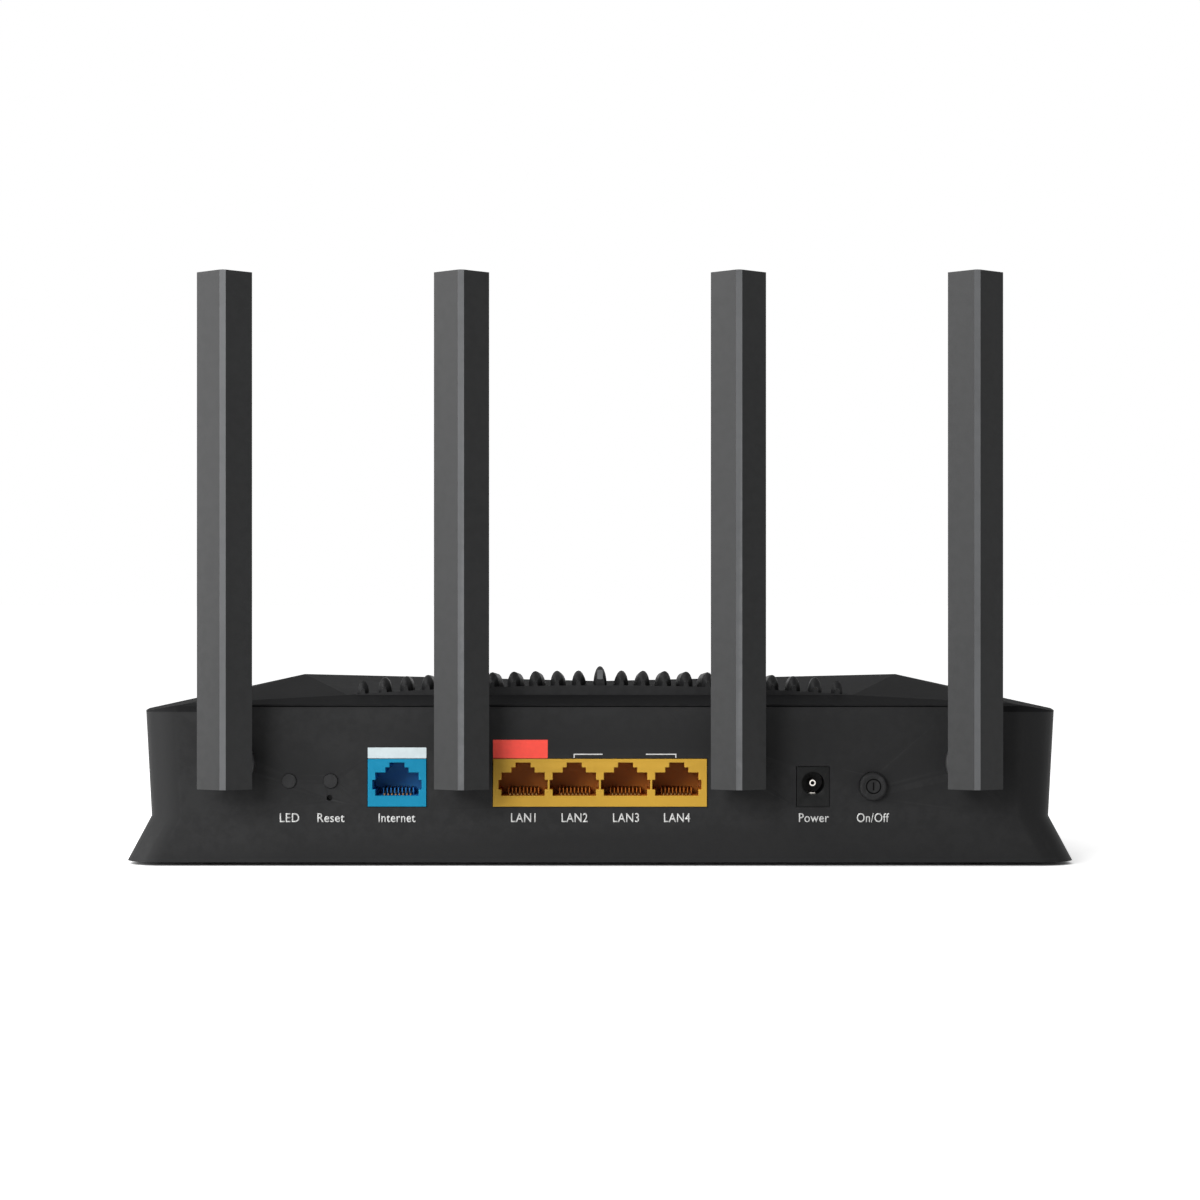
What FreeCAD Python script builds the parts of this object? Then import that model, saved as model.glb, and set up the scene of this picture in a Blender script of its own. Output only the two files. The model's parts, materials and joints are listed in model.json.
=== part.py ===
"""Wireless router with four folding antennas, as separate named pieces.

Drawn with y = 0 on the rear panel's outer face, y growing towards the router's front edge, x across it
and z up from the table. Every piece is moved by CENTRE_Y when it is written, so that the whole object
stands centred on the origin. All sizes are in millimetres.
"""
import FreeCAD, Part
import math
import os

V = FreeCAD.Vector
X, Y, Z = V(1, 0, 0), V(0, 1, 0), V(0, 0, 1)

# ---- case ---------------------------------------------------------------------------------------
BASE_WIDTH = 260.0            # across the flared skirt
SKIRT_FLARE = 6.6             # how far the skirt stands out past the waist on each side
WALL_LEAN = 1.6               # and how far the walls' top does, at TOP_Z
PINCH_WIDTH = BASE_WIDTH - 2 * SKIRT_FLARE
TOP_WIDTH = PINCH_WIDTH + 2 * WALL_LEAN
CASE_DEPTH = 135.0            # rear panel to the tip of the skirt
FRONT_RISE = 22.0             # how far the front edge's tip runs ahead of its ends
SKIRT_Z = 1.0                 # the skirt's lower edge
PINCH_Z = 13.3                # height of the waist
TOP_Z = 43.3                  # height of the rear panel
WALL = 2.2
REAR_CORNER_R = 10.0
FRONT_CORNER_R = 16.0
TIP_R = 30.0

PARTING_Z = TOP_Z - 1.3       # where the cover meets the walls, at the rear
PARTING_FALL = 0.022          # and how fast that joint falls towards the front
TAB_HALF = TOP_WIDTH / 2 - 30.2   # the rear panel stands up between the cover's two corners
TAB_THICK = 1.6
SEAM = 0.25                   # shadow gap round the standing part of the panel
EDGE_SETBACK = 1.0            # the cover starts this far behind the panel's face
BLOCK_LOW = -1.0              # inner blocks start below the case's own, so that they cut right through

# ---- cover --------------------------------------------------------------------------------------
COVER_WALL = 2.2
FIELD_Y = 8.0                 # rear end of the ribbed field
FIELD_HALF = 69.5             # half of the field's width there
BAND_Z = TOP_Z + 0.3          # height of the sloping band's plane at y = 0
FIELD_Z = BAND_Z + 2.8        # height of that plane at the field
PEAK = V(TOP_WIDTH / 2 - 41.2, 38.0, TOP_Z + 8.2)       # highest point of each wing
FRONT_Y, FRONT_Z = CASE_DEPTH - 15.0, TOP_Z + 4.2       # where the two ridges meet
SHOULDER_X, SHOULDER_Z = TOP_WIDTH / 2 - 12.2, TOP_Z + 0.9
SIDE_Z = PARTING_Z + 0.9      # height of the cover's edge at the side, near the rear
ROOF_MARGIN = 12.0            # how far the facets are drawn past the case before they are trimmed
ROOF_FLOOR = 0.0
ROOF_ROOM = TOP_Z + 14.7      # above everything on the cover

# ---- ribbed grille ------------------------------------------------------------------------------
RIB_COUNT = 23
RIB_PITCH = 5.9
RIB_WIDTH = 3.5
RIB_HEIGHT = 3.2
CENTRE_RIB_EXTRA = 1.1
RIB_ROOT = 0.8                # how far a rib reaches into the field's skin
RIB_SHOULDER, RIB_FLANK, RIB_FLANK_HALF = 1.3, 0.35, 0.55     # the pointed arch, down from its tip
REAR_SLOPE, FRONT_SLOPE = 2.4, 6.0    # lengths of the sloped ends
NOTCH_HALF, NOTCH_LENGTH, NOTCH_TOP, NOTCH_FLOOR = 0.6, 3.4, 0.9, 2.4
CROWN_Z = FIELD_Z + 3.3       # top of the arched field at its rear end
CROWN_FALL = 0.0384           # slope of the field towards the front
GRILLE_SKIN = 2.0
GRILLE_LIP = 2.5              # flange under the cover
LIP_THICK = 1.6
FIT_GAP = 0.2                 # between a panel and the opening it drops into
VENT_WIDTH = 1.3
VENT_MARGIN = 6.0

# ---- base ---------------------------------------------------------------------------------------
BASE_Z, BASE_THICK = 1.2, 2.4
FOOT_R, FOOT_SEAT = 6.5, 0.8
FEET = [(PINCH_WIDTH / 2 - 19.0, 15.0), (PINCH_WIDTH / 2 - 25.0, CASE_DEPTH - 39.0)]
POST_R, POST_X = 3.6, PINCH_WIDTH / 2 - 7.5
POST_YS = (17.0, CASE_DEPTH - 43.0)
POST_TOP = TOP_Z - 7.3
WEB_THICK = 2.0
SCREW_R, SCREW_HEAD_R, SCREW_HEAD = 1.5, 2.8, 1.4
SCREW_LENGTH = 12.0
THREAD_GAP = 0.03
PEG_R, PEG_TIP_R, PEG_TIP = 2.6, 1.3, 5.0
KEYHOLE_SPACING, KEYHOLE_Y = 140.0, 45.0
KEYHOLE_R, KEYHOLE_SLOT_R, KEYHOLE_SLOT = 4.0, 2.0, 7.0
BASE_VENT = (2.2, 16.0)
BASE_VENT_ROWS = (24.0, 70.0)
BASE_VENT_COUNT = 15
BASE_VENT_PITCH = 6.2
LABEL_SIZE = (66.0, 22.0, 0.2)
LABEL_Y = 56.0

# ---- main board ---------------------------------------------------------------------------------
BOARD_TOP, BOARD_THICK = 16.2, 1.6
BOARD_HALF, BOARD_REAR = PINCH_WIDTH / 2 - 17.0, WALL + 0.6
BOARD_SIDE, BOARD_FRONT, BOARD_TONGUE = CASE_DEPTH - 37.0, CASE_DEPTH - 22.0, 46.0
STANDOFFS = [(BOARD_HALF - 10.0, 32.0), (BOARD_HALF - 10.0, BOARD_SIDE - 8.0),
             (BOARD_TONGUE, BOARD_SIDE - 10.0)]
STANDOFF_R, BOARD_SCREW_R, BOARD_SCREW_HEAD_R, BOARD_SCREW_HEAD = 3.2, 1.2, 2.3, 1.5
BOARD_SCREW_LENGTH = 8.0

# ---- sockets ------------------------------------------------------------------------------------
JACK_HEIGHT, JACK_DEPTH, JACK_PROUD = 13.0, 21.0, 0.3
PORT_PITCH = 13.97
PORT_COUNT = 4
LAN_WIDTH = 58.3
WAN_X, WAN_WIDTH = -55.3, 15.95
PORT_DEPTH = 13.0
# half width, lowest and highest height above the board of each step of a port
PORT_STEPS = [(5.9, 3.0, 9.3), (6.7, 4.7, 7.3), (3.15, 9.0, 10.7), (2.05, 10.5, 12.0)]
CUTOUT_GAP = 0.15
CONTACT_COUNT, CONTACT_PITCH, CONTACT_WIDTH, CONTACT_THICK = 8, 1.02, 0.5, 0.35
POWER_X, POWER_WIDTH, POWER_HEIGHT, POWER_DEPTH = 58.0, 8.8, 10.8, 13.5
BARREL_Z, BARREL_R, BARREL_DEPTH = BOARD_TOP + 6.4, 3.1, 10.0
POWER_PIN_R, POWER_PIN_START = 1.0, 1.2
POWER_TAIL_R, POWER_TAIL = 0.8, 2.0

# ---- buttons ------------------------------------------------------------------------------------
SMALL_BUTTONS = {"led_button": -84.7, "wps_button": -73.4}
SMALL_Z, SMALL_R, SMALL_PROUD = BOARD_TOP + 7.0, 1.9, 0.6
SMALL_STEM_R, SMALL_END = 1.0, WALL + 3.0
SWITCH_BUTTON_X, SWITCH_BUTTON_Z, SWITCH_BUTTON_R, SWITCH_PROUD = 74.4, BOARD_TOP + 5.6, 3.8, 2.0
RIM_BEVEL, DISH_MARGIN, DISH_DEPTH = 0.5, 1.1, 0.15
RUNNING_GAP = 0.1
FLANGE_EXTRA, FLANGE_THICK = 0.8, 0.9
RESET_X, RESET_Z, PINHOLE_R, PLUNGER_R = -73.7, BOARD_TOP + 2.4, 0.8, 0.75
TACT_GAP = 0.5

# ---- antennas -----------------------------------------------------------------------------------
INNER_X, OUTER_X = 37.2, BASE_WIDTH / 2 - 29.1
ANTENNA_XS = (-OUTER_X, -INNER_X, INNER_X, OUTER_X)
HINGE_Z, HINGE_Y = 28.2, -11.0
ANTENNA_TOP, ANTENNA_TAIL = 160.9, HINGE_Z - 6.6
ANTENNA_WIDTH, RIDGE_WIDTH, REAR_WIDTH = 14.85, 1.7, 11.8
RIDGE_REACH, SIDE_REACH, REAR_REACH = 6.1, 1.6, 4.0     # from the fold axis: ridge, edges, back
ANTENNA_SKIN = 1.4
TOP_SLOPE = 0.4
FLANGE_R, SWIVEL_FLANGE, SWIVEL_AIR = 6.9, 2.5, 0.1
STEM_R, STEM_GAP, STEM_END, GROOVE_R = 4.55, 0.05, 1.4, 3.25
TONGUE_WIDTH, TONGUE_R, TONGUE_SIDE_GAP, TONGUE_END_GAP = 5.2, 3.4, 0.3, 0.35
PIN_R, PIN_HALF, PIN_RUNNING, PIN_PRESS = 1.5, 6.2, 0.05, 0.01
KEEPER_THICK, KEEPER_HALF, KEEPER_DOWN, KEEPER_UP = 1.5, 7.3, 7.0, 6.0
STAKE_R, STAKE_X, STAKE_GAP = 0.9, 5.8, 0.05
LEAD_R, LEAD_BORE_R = 0.7, 1.0
ELEMENT_WIDTH, ELEMENT_THICK, ELEMENT_TOP_GAP = 8.6, 0.8, 3.0

ANTENNA_REACH = -(HINGE_Y - RIDGE_REACH)
CENTRE_Y = (CASE_DEPTH - ANTENNA_REACH) / 2
BIG = 400.0


# ---- helpers ------------------------------------------------------------------------------------
def box(x0, x1, y0, y1, z0, z1):
    return Part.makeBox(x1 - x0, y1 - y0, z1 - z0, V(x0, y0, z0))


def rod(r, start, axis, length):
    return Part.makeCylinder(r, length, start, axis)


def prism(points, sweep):
    """A flat polygon swept along a vector."""
    return Part.Face(Part.makePolygon(points + points[:1])).extrude(sweep)


def fuse(shapes):
    return shapes[0].multiFuse(shapes[1:]).removeSplitter()


def both_sides(shape):
    return [shape, shape.mirror(V(0, 0, 0), X)]


def moved(shape, x, y, z):
    copy = shape.copy()
    copy.translate(V(x, y, z))
    return copy


def rounded_outline(points, radii, z):
    """Closed wire through points in order, each corner rounded by its own radius."""
    edges, starts, ends, mids = [], [], [], []
    count = len(points)
    for i in range(count):
        corner = V(points[i][0], points[i][1], z)
        before = V(points[i - 1][0], points[i - 1][1], z) - corner
        after = V(points[(i + 1) % count][0], points[(i + 1) % count][1], z) - corner
        before.normalize()
        after.normalize()
        half = before.getAngle(after) / 2
        inward = before + after
        inward.normalize()
        starts.append(corner + before * (radii[i] / math.tan(half)))
        ends.append(corner + after * (radii[i] / math.tan(half)))
        mids.append(corner + inward * (radii[i] / math.sin(half) - radii[i]))
    for i in range(count):
        edges.append(Part.Arc(starts[i], mids[i], ends[i]).toShape())
        edges.append(Part.LineSegment(ends[i], starts[(i + 1) % count]).toShape())
    return Part.Wire(edges)


def bent_tube(points, r):
    """A round tube along straight runs joined by tangent arcs, each as large as its runs allow."""
    edges, last = [], points[0]
    for before, corner, after in zip(points, points[1:], points[2:]):
        back, ahead = before - corner, after - corner
        reach = 0.45 * min(back.Length, ahead.Length)
        half = back.getAngle(ahead) / 2
        back.normalize()
        ahead.normalize()
        inward = back + ahead
        inward.normalize()
        radius = reach * math.tan(half)
        start, end = corner + back * reach, corner + ahead * reach
        mid = corner + inward * (radius / math.sin(half) - radius)
        edges.append(Part.LineSegment(last, start).toShape())
        edges.append(Part.Arc(start, mid, end).toShape())
        last = end
    edges.append(Part.LineSegment(last, points[-1]).toShape())
    path = Part.Wire(edges)
    section = Part.Wire(Part.makeCircle(r, points[0], points[1] - points[0]))
    return path.makePipeShell([section], True, False)


# ---- case outline -------------------------------------------------------------------------------
def case_section(z, inset):
    """Plan of the case at one height, moved inwards by inset."""
    if z < PINCH_Z:
        share = (PINCH_Z - z) / (PINCH_Z - SKIRT_Z)
        grow = share * (BASE_WIDTH - PINCH_WIDTH) / 2
    else:
        share = (z - PINCH_Z) / (TOP_Z - PINCH_Z)
        grow = share * (TOP_WIDTH - PINCH_WIDTH) / 2
    half = PINCH_WIDTH / 2 + grow
    tip = CASE_DEPTH - (BASE_WIDTH - PINCH_WIDTH) / 2 + grow
    slope = FRONT_RISE / half
    tip_in = tip - inset * math.hypot(1, slope)
    half_in = half - inset
    side_end = tip_in - half_in * slope
    points = [(-half_in, inset), (half_in, inset), (half_in, side_end), (0, tip_in), (-half_in, side_end)]
    rear, front = REAR_CORNER_R - inset, FRONT_CORNER_R - inset
    return rounded_outline(points, [rear, rear, front, TIP_R, front], z)


def case_block(inset, low=0.0, high=ROOF_ROOM):
    return Part.makeLoft([case_section(z, inset) for z in (low, PINCH_Z, high)], True, True)


def below_parting():
    """Everything under the joint between walls and cover."""
    rear = PARTING_Z + PARTING_FALL * BIG
    front = PARTING_Z - PARTING_FALL * BIG
    side = [V(-BIG / 2, -BIG, -50), V(-BIG / 2, BIG, -50), V(-BIG / 2, BIG, front), V(-BIG / 2, -BIG, rear)]
    return prism(side, X * BIG)


# ---- cover --------------------------------------------------------------------------------------
def band_z(y):
    return BAND_Z + (FIELD_Z - BAND_Z) / FIELD_Y * y


def wing_z(x, y):
    """Height of the facet between the ribbed field and the ridge of the right-hand wing."""
    corner = V(FIELD_HALF, FIELD_Y, FIELD_Z)
    normal = (PEAK - corner).cross(V(0, FRONT_Y, FRONT_Z) - corner)
    return corner.z - (normal.x * (x - corner.x) + normal.y * (y - corner.y)) / normal.z


def field_tip():
    """Where the falling crown of the field meets the valley of the two wings."""
    fall = CROWN_FALL + (wing_z(0, 1) - wing_z(0, 0))
    return FIELD_Y + (CROWN_Z - wing_z(0, FIELD_Y)) / fall


def roof_points():
    side_x = TOP_WIDTH / 2
    far_x = side_x + ROOF_MARGIN
    far_y = -ROOF_MARGIN
    side_y = CASE_DEPTH - (BASE_WIDTH - TOP_WIDTH) / 2 - FRONT_RISE
    steep = (PEAK.z - SIDE_Z + PARTING_FALL * PEAK.y) / (side_x - PEAK.x)
    far_drop = SIDE_Z - steep * ROOF_MARGIN
    tip_y = CASE_DEPTH - (BASE_WIDTH - TOP_WIDTH) / 2
    tip_z = PARTING_Z - PARTING_FALL * tip_y + (SIDE_Z - PARTING_Z)
    nose_fall = (FRONT_Z - tip_z) / (tip_y - FRONT_Y)
    tip = field_tip()
    shoulder_y = (SHOULDER_Z - BAND_Z) / (FIELD_Z - BAND_Z) * FIELD_Y
    return {
        "rear_mid": V(0, far_y, band_z(far_y)),
        "rear_side": V(SHOULDER_X, far_y, band_z(far_y)),
        "rear_corner": V(far_x, far_y, far_drop),
        "side_rear": V(far_x, REAR_CORNER_R, far_drop - PARTING_FALL * REAR_CORNER_R),
        "side_front": V(far_x, side_y + ROOF_MARGIN, far_drop - PARTING_FALL * (side_y + ROOF_MARGIN)),
        "nose": V(0, FRONT_Y + 2 * ROOF_MARGIN, FRONT_Z - nose_fall * 2 * ROOF_MARGIN),
        "field_mid": V(0, FIELD_Y, FIELD_Z),
        "field_corner": V(FIELD_HALF, FIELD_Y, FIELD_Z),
        "field_tip": V(0, tip, wing_z(0, tip)),
        "shoulder": V(SHOULDER_X, shoulder_y, SHOULDER_Z),
        "peak": PEAK,
        "front": V(0, FRONT_Y, FRONT_Z),
        "front_corner": V(side_x, side_y, SIDE_Z - PARTING_FALL * side_y),
    }


ROOF_FACETS = [
    ("rear_mid", "rear_side", "shoulder", "field_corner", "field_mid"),
    ("field_mid", "field_corner", "field_tip"),
    ("field_corner", "peak", "front"),
    ("field_corner", "front", "field_tip"),
    ("field_corner", "shoulder", "peak"),
    ("rear_side", "rear_corner", "shoulder"),
    ("rear_corner", "side_rear", "shoulder"),
    ("shoulder", "side_rear", "peak"),
    ("side_rear", "front_corner", "peak"),
    ("side_rear", "side_front", "front_corner"),
    ("peak", "front_corner", "front"),
    ("front_corner", "side_front", "nose"),
    ("front_corner", "nose", "front"),
]
ROOF_RING = ("rear_mid", "rear_side", "rear_corner", "side_rear", "side_front", "nose")


def roof_block(drop):
    """Solid under the cover's facets, with the facets lowered by drop."""
    faces, floor = [], []
    points = roof_points()
    for side in (1, -1):
        top = {name: V(side * p.x, p.y, p.z - drop) for name, p in points.items()}
        for facet in ROOF_FACETS:
            corners = [top[name] for name in facet]
            faces.append(Part.Face(Part.makePolygon(corners + corners[:1])))
        foot = {name: V(top[name].x, top[name].y, ROOF_FLOOR - drop) for name in ROOF_RING}
        for here, there in zip(ROOF_RING, ROOF_RING[1:]):
            corners = [top[here], top[there], foot[there], foot[here]]
            faces.append(Part.Face(Part.makePolygon(corners + corners[:1])))
        ring = [foot[name] for name in ROOF_RING]
        floor += ring if side > 0 else ring[-2:0:-1]
    faces.append(Part.Face(Part.makePolygon(floor + floor[:1])))
    shell = Part.Shell(faces)
    shell.sewShape()
    solid = Part.Solid(shell)
    if solid.Volume < 0:
        solid.reverse()
    return solid.removeSplitter()


def field_prism(inset):
    """Prism over the ribbed field's plan, a triangle, moved inwards by inset."""
    length = field_tip() - FIELD_Y
    diagonal = math.hypot(FIELD_HALF, length)
    rear = FIELD_Y + inset
    tip = field_tip() - inset * diagonal / FIELD_HALF
    half = (tip - rear) * FIELD_HALF / length
    return prism([V(-half, rear, 0), V(half, rear, 0), V(0, tip, 0)], Z * BIG)


def field_edge_y(x):
    """Where the field's slanted edge lies at one distance from the middle."""
    return FIELD_Y + (field_tip() - FIELD_Y) * (1 - abs(x) / FIELD_HALF)


def crown_z(x, y):
    rise = CROWN_Z - FIELD_Z
    r = (FIELD_HALF ** 2 + rise ** 2) / (2 * rise)
    return CROWN_Z - r + math.sqrt(r ** 2 - x ** 2) - CROWN_FALL * (y - FIELD_Y)


def crown_block(drop):
    """Solid under the arched field, with its crown lowered by drop."""
    half, start = FIELD_HALF + 4, FIELD_Y - 4
    low = 5.0
    left, right = V(-half, start, crown_z(half, start) - drop), V(half, start, crown_z(half, start) - drop)
    top = Part.Arc(left, V(0, start, crown_z(0, start) - drop), right).toShape()
    sides = Part.makePolygon([right, V(half, start, low), V(-half, start, low), left])
    face = Part.Face(Part.Wire([top] + sides.Edges))
    length = field_tip() + 8 - start
    return face.extrude(V(0, length, -CROWN_FALL * length))


# ---- case pieces --------------------------------------------------------------------------------
def post_places():
    return [(side * POST_X, y) for side in (-1, 1) for y in POST_YS]


def panel_cutouts():
    """Openings through the rear panel for sockets, buttons and antennas."""
    gap, deep = CUTOUT_GAP, (-5.0, WALL + 1)
    top = BOARD_TOP + JACK_HEIGHT + gap
    cuts = [
        box(-LAN_WIDTH / 2 - gap, LAN_WIDTH / 2 + gap, *deep, BOARD_TOP - gap, top),
        box(WAN_X - WAN_WIDTH / 2 - gap, WAN_X + WAN_WIDTH / 2 + gap, *deep, BOARD_TOP - gap, top),
        box(POWER_X - POWER_WIDTH / 2 - gap, POWER_X + POWER_WIDTH / 2 + gap, *deep,
            BOARD_TOP - gap, BOARD_TOP + POWER_HEIGHT + gap),
        rod(SWITCH_BUTTON_R + RUNNING_GAP, V(SWITCH_BUTTON_X, -5, SWITCH_BUTTON_Z), Y, 5 + WALL + 1),
        rod(PINHOLE_R, V(RESET_X, -5, RESET_Z), Y, 5 + WALL + 1),
    ]
    for x in SMALL_BUTTONS.values():
        cuts.append(rod(SMALL_R + RUNNING_GAP, V(x, -5, SMALL_Z), Y, 5 + WALL + 1))
    for x in ANTENNA_XS:
        cuts.append(rod(STEM_R + STEM_GAP, V(x, -5, HINGE_Z), Y, 5 + WALL + 1))
    return cuts


def make_main_shell():
    walls = case_block(0).cut(case_block(WALL, BLOCK_LOW, ROOF_ROOM + 2))
    walls = walls.common(below_parting()).common(box(-BIG, BIG, -BIG, BIG, SKIRT_Z, BIG))
    added = [box(-TAB_HALF, TAB_HALF, 0, TAB_THICK, PARTING_Z - 2, TOP_Z)]
    for x, y in post_places():
        side = math.copysign(1, x)
        added.append(rod(POST_R, V(x, y, BASE_Z + BASE_THICK), Z, POST_TOP - BASE_Z - BASE_THICK))
        web = sorted((x, side * (PINCH_WIDTH / 2 - WALL / 2)))
        added.append(box(*web, y - WEB_THICK / 2, y + WEB_THICK / 2, PINCH_Z, POST_TOP - 2))
    for x in ANTENNA_XS:
        for side in (-1, 1):
            start = V(x + side * STAKE_X, WALL / 2, HINGE_Z)
            added.append(rod(STAKE_R, start, Y, WALL / 2 + KEEPER_THICK + 0.5))
    shell = fuse([walls] + added)
    cuts = panel_cutouts() + light_windows(0.1)
    for x, y in post_places():
        cuts.append(rod(SCREW_R + THREAD_GAP, V(x, y, 0), Z, BASE_Z + SCREW_LENGTH + 2))
        cuts.append(rod(PEG_TIP_R + RUNNING_GAP, V(x, y, POST_TOP - PEG_TIP - 0.5), Z, PEG_TIP + 1))
    return shell.cut(cuts)


def make_top_cover():
    outer = case_block(0).common(roof_block(0)).cut(below_parting())
    hollow = case_block(WALL, BLOCK_LOW, ROOF_ROOM + 2).common(roof_block(COVER_WALL))
    cover = outer.cut(hollow)
    pegs = []
    for x, y in post_places():
        peg = rod(PEG_R, V(x, y, POST_TOP), Z, 20).common(roof_block(COVER_WALL / 2))
        pegs += [peg, rod(PEG_TIP_R, V(x, y, POST_TOP - PEG_TIP), Z, PEG_TIP + 1)]
    cover = fuse([cover] + pegs)
    gap = SEAM + 0.15
    cuts = [
        box(-TAB_HALF - gap, TAB_HALF + gap, -5, EDGE_SETBACK, PARTING_Z - 3, BIG),
        box(-TAB_HALF - gap, TAB_HALF + gap, -5, TAB_THICK + SEAM, PARTING_Z - 3, TOP_Z + SEAM),
        field_prism(0),
    ]
    return cover.cut(cuts)


def make_rib(x, extra):
    """One rib: a pointed arch in section, sloped at both ends."""
    half = RIB_WIDTH / 2
    rear, front = FIELD_Y + FIT_GAP, field_edge_y(abs(x) + half) - 2 * FIT_GAP
    length = front - rear
    foot = crown_z(x, rear) - RIB_ROOT
    top = crown_z(x, rear) + RIB_HEIGHT + extra
    shoulder, flank, flank_half = top - RIB_SHOULDER, top - RIB_FLANK, half * RIB_FLANK_HALF
    section = [V(x - half, rear, foot), V(x + half, rear, foot), V(x + half, rear, shoulder),
               V(x + flank_half, rear, flank), V(x, rear, top), V(x - flank_half, rear, flank),
               V(x - half, rear, shoulder)]
    body = prism(section, V(0, length, -CROWN_FALL * length))
    rear_slope, front_slope = min(REAR_SLOPE, 0.4 * length), min(FRONT_SLOPE, 0.4 * length)
    sink = CROWN_FALL * length
    outline = [(rear, foot - sink - 1), (rear, foot + 1.4), (rear + 0.5 * rear_slope, top - 1.1),
               (rear + rear_slope, top + 0.3), (front - front_slope, top - sink + 0.3),
               (front, foot - sink + 0.6), (front, foot - sink - 1)]
    side = [V(x - half - 1, y, z) for y, z in outline]
    return body.common(prism(side, X * (RIB_WIDTH + 2)))


def make_rib_grille():
    tub = crown_block(0).common(field_prism(FIT_GAP))
    tub = tub.cut(crown_block(GRILLE_SKIN).common(field_prism(FIT_GAP + LIP_THICK)))
    lip_drop = COVER_WALL + 0.1
    lip = roof_block(lip_drop).common(field_prism(-GRILLE_LIP)).cut(field_prism(FIT_GAP + LIP_THICK))
    tub = fuse([tub, lip]).cut(roof_block(lip_drop + LIP_THICK))
    middle = RIB_COUNT // 2
    xs = [(i - middle) * RIB_PITCH for i in range(RIB_COUNT)]
    ribs = [make_rib(x, CENTRE_RIB_EXTRA if x == 0 else 0) for x in xs]
    grille = fuse([tub] + ribs)
    slots = []
    for x in xs[:-1]:
        centre = x + RIB_PITCH / 2
        start = FIELD_Y + VENT_MARGIN
        end = field_edge_y(abs(centre) + VENT_WIDTH) - VENT_MARGIN
        if end - start > VENT_MARGIN:
            slots.append(box(centre - VENT_WIDTH / 2, centre + VENT_WIDTH / 2, start, end, 0, BIG))
    tip = CROWN_Z + RIB_HEIGHT + CENTRE_RIB_EXTRA
    slots.append(box(-NOTCH_HALF, NOTCH_HALF, 0, FIELD_Y + NOTCH_LENGTH, tip - NOTCH_FLOOR, tip - NOTCH_TOP))
    return grille.cut(slots)


def keyhole(x):
    round_end = rod(KEYHOLE_R, V(x, KEYHOLE_Y, 0), Z, 5)
    slot = box(x - KEYHOLE_SLOT_R, x + KEYHOLE_SLOT_R, KEYHOLE_Y, KEYHOLE_Y + KEYHOLE_SLOT, 0, 5)
    slot_end = rod(KEYHOLE_SLOT_R, V(x, KEYHOLE_Y + KEYHOLE_SLOT, 0), Z, 5)
    return [round_end, slot, slot_end]


def foot_places():
    return [(side * x, y) for x, y in FEET for side in (-1, 1)]


def standoff_places():
    return [(side * x, y) for x, y in STANDOFFS for side in (-1, 1)]


def make_base_plate():
    top = BASE_Z + BASE_THICK
    plate = case_block(WALL + SEAM).common(box(-BIG, BIG, -BIG, BIG, BASE_Z, top))
    standoffs = [rod(STANDOFF_R, V(x, y, top - 1), Z, BOARD_TOP - BOARD_THICK - top + 1)
                 for x, y in standoff_places()]
    plate = fuse([plate] + standoffs)
    cuts = keyhole(-KEYHOLE_SPACING / 2) + keyhole(KEYHOLE_SPACING / 2)
    for x, y in foot_places():
        cuts.append(rod(FOOT_R, V(x, y, 0), Z, BASE_Z + FOOT_SEAT))
    for x, y in post_places():
        cuts.append(rod(SCREW_R + FIT_GAP, V(x, y, 0), Z, 5))
        cuts.append(rod(SCREW_HEAD_R + FIT_GAP, V(x, y, 0), Z, BASE_Z + SCREW_HEAD))
    for x, y in standoff_places():
        depth = BOARD_SCREW_LENGTH + 0.5
        cuts.append(rod(BOARD_SCREW_R + THREAD_GAP, V(x, y, BOARD_TOP - depth), Z, depth + 1))
    width, length = BASE_VENT
    for row in BASE_VENT_ROWS:
        for i in range(BASE_VENT_COUNT):
            x = (i - (BASE_VENT_COUNT - 1) / 2) * BASE_VENT_PITCH
            cuts.append(box(x - width / 2, x + width / 2, row, row + length, 0, 5))
    return plate.cut(cuts)


def make_rubber_feet():
    return [rod(FOOT_R, V(x, y, 0), Z, BASE_Z + FOOT_SEAT) for x, y in foot_places()]


def make_case_screws():
    screws = []
    for x, y in post_places():
        head = rod(SCREW_HEAD_R, V(x, y, BASE_Z + 0.1), Z, SCREW_HEAD - 0.1)
        cross = [box(x - 1.5, x + 1.5, y - 0.3, y + 0.3, 0, BASE_Z + 0.8),
                 box(x - 0.3, x + 0.3, y - 1.5, y + 1.5, 0, BASE_Z + 0.8)]
        shank = rod(SCREW_R, V(x, y, BASE_Z + SCREW_HEAD), Z, SCREW_LENGTH - SCREW_HEAD)
        screws.append(fuse([head, shank]).cut(cross))
    return screws


def make_rating_plate():
    width, length, thick = LABEL_SIZE
    return box(-width / 2, width / 2, LABEL_Y - length / 2, LABEL_Y + length / 2, BASE_Z - thick, BASE_Z)


# ---- lights at the front ------------------------------------------------------------------------
LIGHT_COUNT, LIGHT_PITCH, LIGHT_WIDTH, LIGHT_HEIGHT, LIGHT_Z = 7, 11.0, 5.0, 1.4, 29.0
PIPE_WIDTH, PIPE_DEPTH = 2.4, 2.8
PIPE_Y = BOARD_FRONT - 4.4


def light_xs():
    return [(i - (LIGHT_COUNT - 1) / 2) * LIGHT_PITCH for i in range(LIGHT_COUNT)]


def light_windows(gap):
    half = LIGHT_WIDTH / 2 + gap
    return [box(x - half, x + half, PIPE_Y + PIPE_DEPTH, CASE_DEPTH + 5, LIGHT_Z - gap,
                LIGHT_Z + LIGHT_HEIGHT + gap) for x in light_xs()]


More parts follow.
